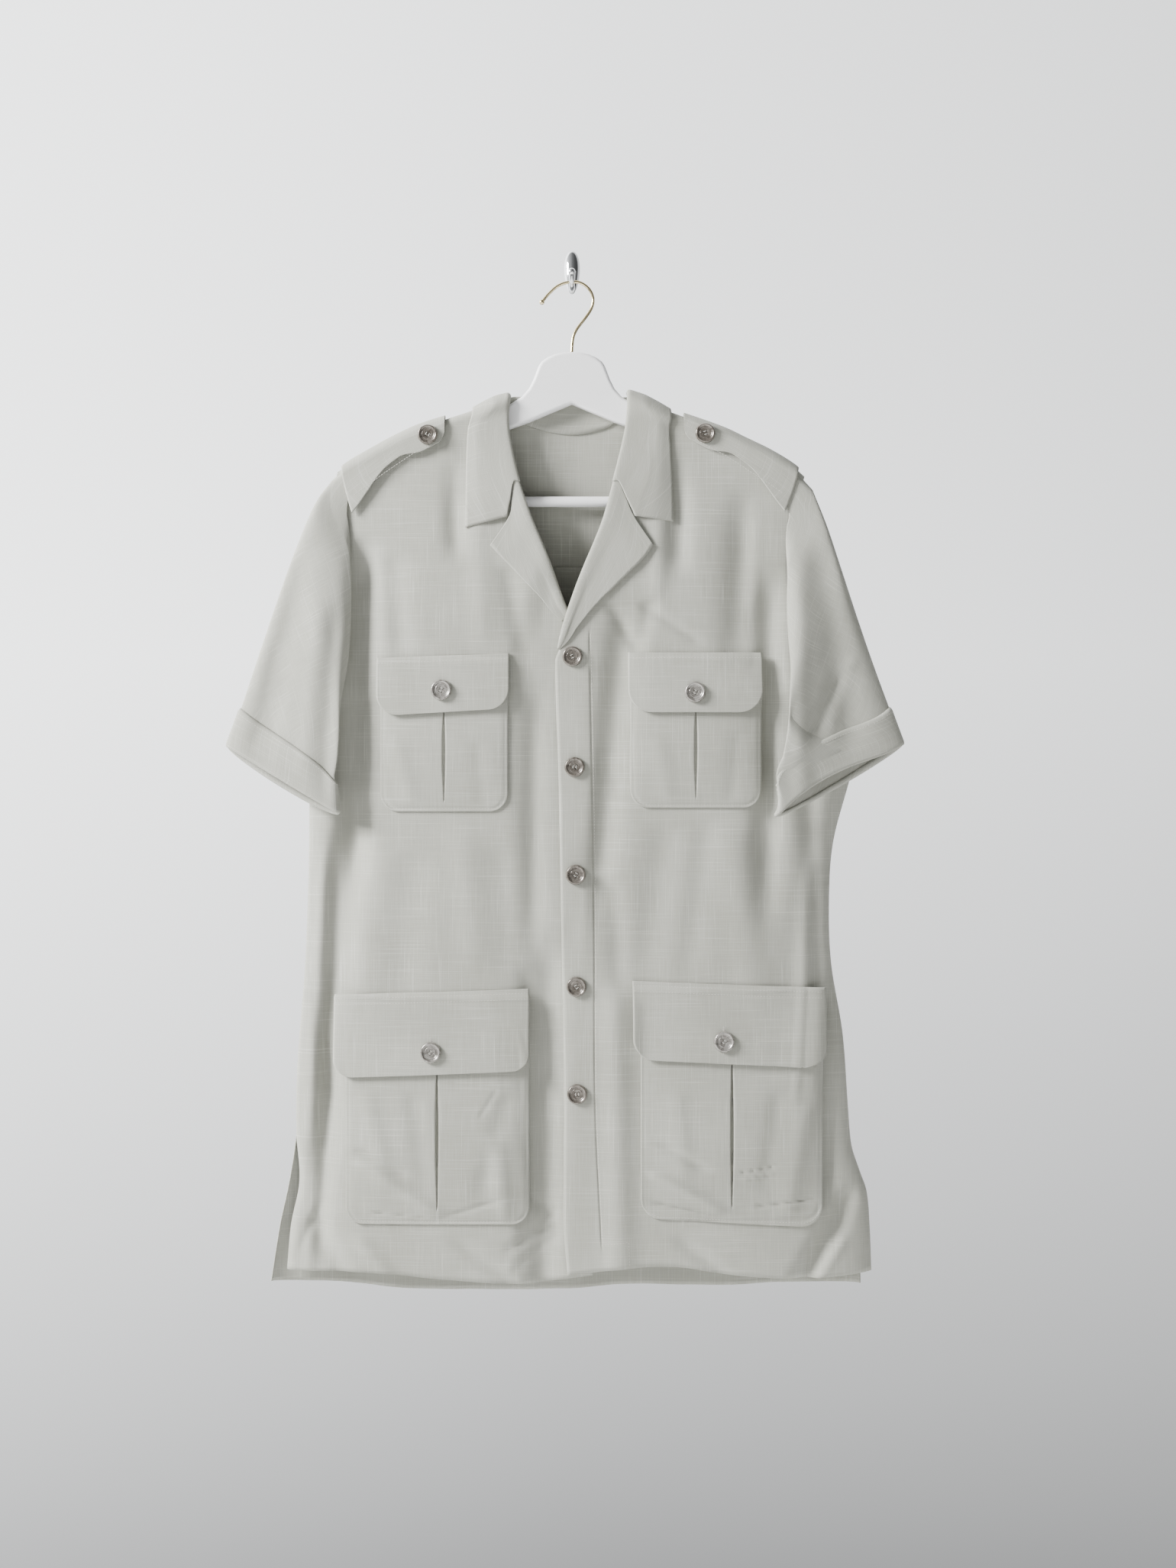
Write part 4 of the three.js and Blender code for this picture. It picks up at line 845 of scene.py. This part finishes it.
def epauletteOut(e, x):
    t = np.clip((abs(x) - e["inner"]) / (e["outer"] - e["inner"]), 0, 1)
    return clothGap + 1.9 + e["lift"] * np.sin(math.pi * (0.1 + 0.8 * t))


for side, e in epaulettes.items():
    tip = np.linspace(0, math.pi / 2, strapLook["tip"])
    rest = np.linspace(0.085, 1, 60)
    t = np.concatenate([0.07 * (1 - np.cos(tip)), rest])
    rounding = np.concatenate([0.45 + 0.55 * np.sin(tip), np.ones(len(rest))])
    b, t = np.meshgrid(np.linspace(0, 1, strapLook["columns"]), t)
    half = mix(*strapLook["halves"], t) * rounding[:, None]
    x = sides[side] * mix(e["inner"], e["outer"] - e["slant"] * b * b, t)
    drop = strapLook["drop"] * b**3 * ease((t - 0.62) / 0.38)
    drop = drop - strapLook["dip"] * b**2 * np.sin(math.pi * t) * ease((t - 0.2) / 0.3)
    grid = overCrest(x, mix(*strapLook["middle"], t) + (2 * b - 1) * half + drop, epauletteOut(e, x))
    clothPiece("epaulette_" + side, grid, ["front_" + side + "_cloth"],
               wall=strapLook["wall"])
print("shoulder straps made")

# Buttons: a raised rim, a dished middle with a ring cut in it, and four holes with thread through them.
buttonLook = {  # the profile is shares of the radius and heights
    "profile": ((0, 0), (0.86, 0), (0.96, 0.2), (1, 0.55), (0.985, 1.9), (0.93, 3.2), (0.87, 3.6),
                (0.8, 3.55), (0.74, 3.15), (0.7, 2.75), (0.66, 2.65), (0.6, 2.62), (0.575, 2.42),
                (0.55, 2.42), (0.525, 2.62), (0.46, 2.5), (0.36, 2.4), (0.24, 2.35), (0.12, 2.32), (0, 2.3)),
    "rimRings": 44,
    "dish": 16,  # the profile's row where the middle with the holes begins
    "dishRings": 33,
    "around": 60,
    "holeAt": 1.4555,
    "holeRadius": 0.95,
    "holeDepth": 1.5,
    "thread": (1.9, 0.34, 0.36),
    "threadAt": 2.45,
    "shank": (2.0, 2.0, 0.5),
    "shankAt": -0.3,
    "clearance": 0.35,
}


def buttonMesh(radius, frameOf):
    look = buttonLook
    profile = np.array(look["profile"])
    steps = range(len(profile))
    places = np.linspace(0, steps[-1], look["rimRings"])
    dish = np.linspace(look["dish"], steps[-1], look["dishRings"])
    places = np.concatenate([places[places < look["dish"]], dish])
    out = curve(*zip(steps, profile[:, 0]))(places) * radius
    high = curve(*zip(steps, profile[:, 1]))(places)
    turn, out = np.meshgrid(np.linspace(0, 2 * math.pi, look["around"] + 1), out)
    high = np.repeat(high[:, None], turn.shape[1], 1)
    x = out * np.cos(turn)
    y = out * np.sin(turn)
    upper = places[:, None] > look["dish"] - 1
    for across, up in ((1, 1), (1, -1), (-1, 1), (-1, -1)):
        away = np.hypot(x - across * look["holeAt"], y - up * look["holeAt"])
        high = high - upper * look["holeDepth"] * (1 - ease((away - look["holeRadius"] + 0.25) / 0.4))
    bm = gridMesh([frameOf @ Vector(spot) for spot in np.stack([x, y, high], -1).reshape(-1, 3)], turn.shape)
    closeSeams(bm)
    return bm


def ball(bm, middle, radii):
    bmesh.ops.create_icosphere(bm, subdivisions=2, radius=1,
                               matrix=Matrix.Translation(Vector(middle)) @ Matrix.Diagonal((*radii, 1)))


def seat(surface, radius):  # where a button sits, as a matrix from its millimetres to the scene's metres
    across = surface(1.0, 0.0) - surface(-1.0, 0.0)
    up = surface(0.0, 1.0) - surface(0.0, -1.0)
    normal = Vector(np.cross(across, up)).normalized()
    if normal.y > 0:
        normal.negate()
    across = Vector(across).normalized()
    turn = np.linspace(0, 2 * math.pi, 13)[:-1]
    middle = surface(0.0, 0.0)
    rim = [surface(radius * math.cos(a), radius * math.sin(a)) - middle for a in turn]
    lift = max(0.0, *(float(np.dot(r, normal)) for r in rim)) + body["wall"] / 2 + buttonLook["clearance"]
    place = Matrix.Translation(Vector(toMetres(middle + np.array(normal) * lift)))
    turned = Matrix((across, normal.cross(across), normal)).transposed().to_4x4()
    return place @ turned @ Matrix.Scale(0.001, 4)


def addButton(node, radius, surface, material, turn):
    frameOf = seat(surface, radius) @ Matrix.Rotation(turn, 4, "Z")
    meshPiece(node + "_detail", buttonMesh(radius, frameOf), material, [node])
    bm = bmesh.new()
    for side in (-1, 1):
        ball(bm, (0, side * buttonLook["holeAt"], buttonLook["threadAt"]), buttonLook["thread"])
    ball(bm, (0, 0, buttonLook["shankAt"]), buttonLook["shank"])
    bmesh.ops.transform(bm, matrix=frameOf, verts=bm.verts)
    meshPiece(node + "_thread", bm, threadFinish)


def makeButtonFinish(name, dark, light):
    finish = Finish(name, Metallic=0.55, Coat_Weight=0.6, Coat_Roughness=0.12, Specular_IOR_Level=0.6)
    place = finish.node("TexCoord", out=3)
    swirl = finish.node("TexNoise", {}, {"Vector": place, "Scale": 160.0, "Detail": 3.0, "Distortion": 1.5})
    shade = finish.node("ValToRGB", {"stops": ((0.3, (*dark, 1)), (0.75, (*light, 1)))}, {"Fac": swirl})
    return finish.set(Base_Color=shade, Roughness=0.18 + swirl * 0.2)


threadFinish = Finish("threadFinish", Base_Color=(0.55, 0.54, 0.49, 1), Roughness=0.75).material
darkButton = makeButtonFinish("smokedButton", (0.10, 0.085, 0.07), (0.26, 0.235, 0.205))
paleButton = makeButtonFinish("silveryButton", (0.20, 0.185, 0.165), (0.46, 0.44, 0.41))
frontButtons = ((0.7, -354), (2.8, -458.6), (3.8, -560.5), (4.7, -666.4), (5.3, -768))
darkRadius = 9.6
paleRadius = 10.0
strapButtonAt = 14  # way down over the cloth
for k, (x, z) in enumerate(frontButtons):
    addButton("front_button_" + str(k + 1), darkRadius, lambda a, b: onPlain(x + a, z + b, 0.0), darkButton,
              0.4 + 1.1 * k)
for name, f in flaps.items():
    x, z = f["button"]
    addButton(name.replace("flap", "button"), paleRadius,
              lambda a, b: onFront(x + a, z + b, flapOut(f, x + a, z + b)), paleButton, 0.3 + z / 100)
for side, e in epaulettes.items():
    x = sides[side] * e["button"]
    addButton("epaulette_button_" + side, darkRadius,
              lambda a, b: overCrest(x + a, strapButtonAt - b, epauletteOut(e, x + a)), darkButton, 0.7)
print("buttons made")

# Sewing: rows of small stitches along lines on the cloth.
stitchLook = {"pitch": 2.9, "half": 1.1, "wide": 0.3, "high": 0.24}
buttonholeLook = {"pitch": 0.55, "half": 0.27, "wide": 0.5, "high": 0.28}


def stitchRow(bm, base, tips, look=stitchLook):
    along = np.concatenate([[0], np.cumsum(np.linalg.norm(np.diff(base, axis=0), axis=1))])
    marks = np.arange(look["pitch"] / 2, along[-1] - look["pitch"] / 2, look["pitch"])

    def at(points, place):
        return np.stack([np.interp(place, along, points[:, k]) for k in range(3)], -1)

    middles = at(base, marks)
    ups = at(tips, marks) - middles
    aheads = at(base, marks + 0.8) - at(base, marks - 0.8)
    for middle, up, ahead in zip(middles, ups, aheads):
        ahead = Vector(ahead).normalized()
        across = Vector(up).cross(ahead).normalized()
        turned = Matrix((ahead, across, ahead.cross(across))).transposed().to_4x4()
        size = Matrix.Diagonal((look["half"] / 1000, look["wide"] / 1000, look["high"] / 1000, 1))
        bmesh.ops.create_icosphere(bm, subdivisions=1, radius=1,
                                   matrix=Matrix.Translation(toMetres(middle)) @ turned @ size)


def lineOn(surface, line, out):  # a line of x and z laid on a surface, and the same a little further out
    line = np.array(line, float)
    lengths = np.concatenate([[0], np.cumsum(np.linalg.norm(np.diff(line, axis=0), axis=1))])
    places = np.linspace(0, lengths[-1], max(int(lengths[-1] / 2), 2))
    x, z = (np.interp(places, lengths, line[:, k]) for k in (0, 1))
    return surface(x, z, out), surface(x, z, out + 1)


def patchLine(p, inset):  # down one side of a patch, round its foot and up the other
    r = p["round"] - inset
    half = p["half"] - inset
    foot = p["foot"] + inset
    turn = np.linspace(0, math.pi / 2, 12)
    corner = [(-half + r * (1 - math.cos(a)), foot + r * (1 - math.sin(a))) for a in turn]
    down = [(-half, p["top"] - 1), *corner]
    line = np.array(down + [(-x, z) for x, z in reversed(down)])
    return np.stack([p["x"] + line[:, 0], line[:, 1] + p["skew"] * line[:, 0] / half * 0.5], -1)


skin = body["wall"] / 2
flapSkin = (patchLook["flapWall"] - body["wall"]) / 2
strapSkin = strapLook["wall"] / 2


def onPocket(p):
    return lambda x, z, out: onFront(x, z, pocketOut(p, x, z) + out)


def onFlap(f):
    return lambda x, z, out: onFront(x, z, flapOut(f, x, z) + flapSkin + out)


def onBack(x, z, out):
    return np.stack([x, backY(x, z) + out, z], -1)


bm = bmesh.new()
for p in pockets.values():
    stitchRow(bm, *lineOn(onPocket(p), patchLine(p, sewn["in"]), skin))
for f in flaps.values():
    for inset in f["rows"]:
        half = f["half"] - 1
        ends = [(f["x"] + k * half, f["top"] - inset + f["skew"] * k * 0.5) for k in (-1, 1)]
        stitchRow(bm, *lineOn(onFlap(f), ends, skin))
meshPiece("pocket_stitching", bm, threadFinish)
bm = bmesh.new()
facingDown = [(float(facing["line"](z)) + 1.9, z) for z in range(-332, -910, -8)]
stitchRow(bm, *lineOn(onPlain, facingDown, skin))
stitchRow(bm, *lineOn(onPlain, facing["foot"], skin))
meshPiece("front_stitching", bm, threadFinish)
bm = bmesh.new()
yokeLine = [(x, body["yokeSeam"] + 3.5) for x in range(-212, 208, 6)]
stitchRow(bm, *lineOn(onBack, yokeLine, skin))
for side in sides:
    turn = turns(400)
    row = np.full(len(turn), cuffLook["stitched"])
    base, tips = (cuffPoints(side, row, turn, cuffLook["out"] + skin + more) for more in (0, 1))
    stitchRow(bm, base, tips)
meshPiece("back_and_cuff_stitching", bm, threadFinish)
bm = bmesh.new()
for side, e in epaulettes.items():
    for edge in (0.07, 0.93):
        t = np.linspace(0.1, 0.97, 90)
        x = sides[side] * mix(e["inner"], e["outer"] - e["slant"] * edge**2, t)
        w = mix(*strapLook["middle"], t) + (2 * edge - 1) * mix(*strapLook["halves"], t)
        base, tips = (overCrest(x, w, epauletteOut(e, x) + strapSkin + more) for more in (0, 1))
        stitchRow(bm, base, tips)
for name in ("lower_flap_left", "lower_flap_right"):  # the buttonholes, worked close
    x, z = flaps[name]["button"]
    for edge in (-0.55, 0.55):
        ends = [(x + edge, z - 11.5), (x + edge, z + 14.5)]
        stitchRow(bm, *lineOn(onFlap(flaps[name]), ends, skin), look=buttonholeLook)
meshPiece("strap_stitching", bm, threadFinish)
print("sewing made")

# The hanger and the wall hook.
hangerLook = {
    "thick": 11.0,
    "soft": 3.2,
    "under": 1.6,
    "bell": ((0, -62), (8, -62.3), (16, -64), (23, -67), (28.7, -71), (31.5, -75), (33.5, -80),
             (36.5, -88), (41, -97), (47.5, -104.5), (60, -112.5)),
    "foot": ((210, -182), (209.3, -196), (208, -208), (206, -212.5), (202, -214), (194, -214),
             (189.5, -212.5), (187.6, -209), (187.3, -199), (178, -190), (150, -174.5), (120, -158),
             (90, -145), (62, -136.5), (40, -128.5), (20, -120), (8, -115)),
    "low": -111.5,
}


def hangerBoard():
    look = hangerLook
    arms = [(x, float(crestZ(float(x))) - look["under"]) for x in (80, 100, 120, 145, 167, 190, 209)]
    half = [*look["bell"], *arms, *look["foot"]]
    other = [(-x, z) for x, z in reversed(half[1:])]
    outline = [*half, (0, look["low"]), *other]
    bm = bmesh.new()
    front = (hangerY - look["thick"] / 2) / 1000
    verts = [bm.verts.new((x / 1000, front, (z - hangDrop) / 1000)) for x, z in outline]
    face = bm.faces.new(verts)
    moved = bmesh.ops.extrude_face_region(bm, geom=[face])["geom"]
    behind = [v for v in moved if isinstance(v, bmesh.types.BMVert)]
    bmesh.ops.translate(bm, vec=(0, look["thick"] / 1000, 0), verts=behind)
    bmesh.ops.recalc_face_normals(bm, faces=bm.faces)
    rim = [e for e in bm.edges if abs(e.verts[0].co.y - e.verts[1].co.y) < 1e-6]
    bmesh.ops.bevel(bm, geom=rim, offset=look["soft"] / 1000, segments=5, profile=0.5, affect="EDGES",
                    clamp_overlap=True)
    bmesh.ops.triangulate(bm, faces=[f for f in bm.faces if len(f.verts) > 4])
    for face in bm.faces:
        face.smooth = abs(face.normal.y) < 0.99
    return bm


def rod(points, radius, step=1.0, around=20):  # a round wire along a smooth curve, and rounded at its ends
    points = np.array(points, float)
    lengths = np.concatenate([[0], np.cumsum(np.linalg.norm(np.diff(points, axis=0), axis=1))])
    places = np.linspace(0, lengths[-1], int(lengths[-1] / step))
    line = np.stack([curve(*zip(lengths, points[:, k]))(places) for k in range(3)], -1)
    ahead = np.gradient(line, axis=0)
    ahead /= np.linalg.norm(ahead, axis=1, keepdims=True)
    level = np.array((0.0, 1.0, 0.0)) if abs(ahead[:, 1]).max() < 0.7 else np.array((1.0, 0.0, 0.0))
    across = np.cross(ahead, level)
    across /= np.linalg.norm(across, axis=1, keepdims=True)
    up = np.cross(across, ahead)
    turn = np.linspace(0, 2 * math.pi, around + 1)[None, :, None]
    tube = line[:, None] + radius * (np.cos(turn) * across[:, None] + np.sin(turn) * up[:, None])
    bm = gridMesh(toMetres(tube).reshape(-1, 3), tube.shape[:2])
    closeSeams(bm)
    for end in (line[0], line[-1]):
        bead(bm, end, radius, around, 10)
    smoothFaces(bm)
    return bm


paint = Finish("whitePaint", Roughness=0.38, Coat_Weight=0.25, Coat_Roughness=0.3)
patch = paint.node("TexNoise", {}, {"Vector": stretched(paint, paint.node("TexCoord", out=3), (12, 40, 60)),
                                    "Scale": 1.0, "Detail": 3.0})
paintFinish = paint.set(
    Base_Color=paint.node("ValToRGB", {"stops": ((0.3, (0.93, 0.93, 0.93, 1)), (0.7, (0.97, 0.97, 0.97, 1)))},
                          {"Fac": patch}),
    Normal=paint.node("Bump", {}, {"Height": patch, "Distance": 0.0001, "Strength": 0.4}),
)
brassFinish = Finish("paleBrass", Base_Color=(0.80, 0.68, 0.42, 1), Metallic=1.0, Roughness=0.18).material
chromeFinish = Finish("chrome", Base_Color=(0.82, 0.83, 0.84, 1), Metallic=1.0, Roughness=0.08).material
meshPiece("hanger_board", hangerBoard(), paintFinish, ["hanger_body"])
rail = {"half": 187, "bend": 60, "z": -204.7, "radius": 5}
railLine = [(x, hangerY, rail["z"]) for x in (-rail["half"], -rail["bend"], rail["bend"], rail["half"])]
meshPiece("hanger_rail", rod(railLine, rail["radius"], 8, 32), paintFinish, ["hanger_bar"])
wire = [(0, -61.4), (0.4, -54), (1.6, -46.5), (4.8, -39.5), (12.4, -29.5), (18.8, -19.5), (20.4, -10.5),
        (16.8, -1.6), (8.6, 4.6), (-1.4, 5.6), (-13, 2), (-22.5, -6.2), (-28.6, -13.6)]
wireLine = [(x, hangerY, z) for x, z in wire]
bm = rod(wireLine, 1.5)
bead(bm, wireLine[-1], 2.6, 24, 14)
smoothFaces(bm)
meshPiece("hanger_wire", bm, brassFinish, ["hanger_hook"])

wallHook = {"half": 9.0, "top": 44.0, "foot": 2.0, "thick": 7.0, "taper": 0.3, "arm": 2.7, "rest": 1.1,
            "knob": 3.5}
armLine = [(0, -3, 20), (0, -10, 9), (0, -21, wallHook["rest"] + 0.8), (0, hangerY, wallHook["rest"]),
           (0, -41, wallHook["rest"] + 4), (0, -44, 13)]
bm = rod(armLine, wallHook["arm"], 1.0, 24)
bead(bm, armLine[-1], wallHook["knob"], 24, 14)
plate = bmesh.ops.create_uvsphere(bm, u_segments=48, v_segments=32, radius=1)["verts"]
for vert in plate:
    x, y, z = vert.co
    narrow = 1 - wallHook["taper"] * (1 - z) / 2
    spot = (x * wallHook["half"] * narrow, min(y, 0) * wallHook["thick"],
            mix(wallHook["foot"], wallHook["top"], (1 + z) / 2))
    vert.co = toMetres(np.array(spot))
bmesh.ops.remove_doubles(bm, verts=plate, dist=1e-6)
smoothFaces(bm)
meshPiece("wall_hook_detail", bm, chromeFinish, ["wall_hook"])
print("hanger and hook made")

# Camera: as far from the shirt's front as the photograph was taken, with its angle of view.
cameraLook = {"place": (0.0155, -1.988, -0.4977), "angle": 42.0}
camera = bpy.data.cameras.new("camera")
camera.sensor_fit = "VERTICAL"
camera.sensor_height = 24
camera.lens = 12 / math.tan(math.radians(cameraLook["angle"] / 2))
cameraObject = bpy.data.objects.new("camera", camera)
cameraObject.location = cameraLook["place"]
cameraObject.rotation_euler = (math.pi / 2, 0, 0)
bpy.context.scene.collection.objects.link(cameraObject)
bpy.context.scene.camera = cameraObject

lightLook = {
    "world": 2.0,
    "room": (0.7, 0.32, 0.12, 0.05, 0.03),  # how bright from left to right, before the shirt
    "beyond": (2.4, 2.0, 1.15, 0.62, 0.45),  # and behind it
    "between": (-0.15, 0.15),  # where the one goes over into the other
    "low": 0.12,  # share of that far below
    "falling": (0.06, -0.42),
    "tint": (0.985, 1, 1.01),
    "aim": (0, 0, -0.5),
    "lamps": {  # power, place and size
        "window": (240.0, (-2.2, -1.0, 0.75), 0.9),
        "fill": (3.0, (1.8, -2.0, -0.2), 1.6),
    },
}
world = bpy.data.worlds.new("studio")
world.use_nodes = True
made = world.node_tree.nodes
links = world.node_tree.links
direction = made.new("ShaderNodeTexCoord")
parts = made.new("ShaderNodeSeparateXYZ")
links.new(direction.outputs["Generated"], parts.inputs[0])


def ranged(socket, low, high):
    spread = made.new("ShaderNodeMapRange")
    spread.inputs["From Min"].default_value = low
    spread.inputs["From Max"].default_value = high
    links.new(socket, spread.inputs["Value"])
    return spread.outputs["Result"]


def skyRamp(shades):
    ramp = made.new("ShaderNodeValToRGB")
    for k, shade in enumerate(shades):
        element = ramp.color_ramp.elements[k] if k < 2 else ramp.color_ramp.elements.new(1.0)
        element.position = k / (len(shades) - 1)
        element.color = (*(shade * tint for tint in lightLook["tint"]), 1)
    links.new(ranged(parts.outputs["X"], -1.0, 1.0), ramp.inputs["Fac"])
    return ramp.outputs["Color"]


joined = made.new("ShaderNodeMix")
joined.data_type = "RGBA"
links.new(ranged(parts.outputs["Y"], *lightLook["between"]), joined.inputs["Factor"])
links.new(skyRamp(lightLook["room"]), joined.inputs["A"])
links.new(skyRamp(lightLook["beyond"]), joined.inputs["B"])
darker = made.new("ShaderNodeMix")
darker.data_type = "RGBA"
darker.blend_type = "MULTIPLY"
darker.inputs["B"].default_value = (lightLook["low"],) * 3 + (1,)
links.new(ranged(parts.outputs["Z"], *lightLook["falling"]), darker.inputs["Factor"])
links.new(joined.outputs["Result"], darker.inputs["A"])
links.new(darker.outputs["Result"], made["Background"].inputs["Color"])
made["Background"].inputs["Strength"].default_value = lightLook["world"]
bpy.context.scene.world = world
for name, (power, place, size) in lightLook["lamps"].items():
    light = bpy.data.lights.new(name, "AREA")
    light.energy = power
    light.size = size
    lamp = bpy.data.objects.new(name, light)
    lamp.location = place
    lamp.rotation_euler = (Vector(lightLook["aim"]) - Vector(place)).to_track_quat("-Z", "Y").to_euler()
    bpy.context.scene.collection.objects.link(lamp)

floorLook = {"height": -1.72, "size": 6.0, "before": -2.2}
bm = bmesh.new()
bmesh.ops.create_grid(bm, x_segments=1, y_segments=1, size=floorLook["size"] / 2,
                      matrix=Matrix.Translation((0, floorLook["before"], floorLook["height"])))
floorMesh = bpy.data.meshes.new("floor")
bm.to_mesh(floorMesh)
bm.free()
floor = bpy.data.objects.new("floor", floorMesh)
bpy.context.scene.collection.objects.link(floor)
floorMesh.materials.append(Finish("paleFloor", Base_Color=(0.85, 0.85, 0.84, 1), Roughness=0.7).material)
print("camera, lights and floor made")
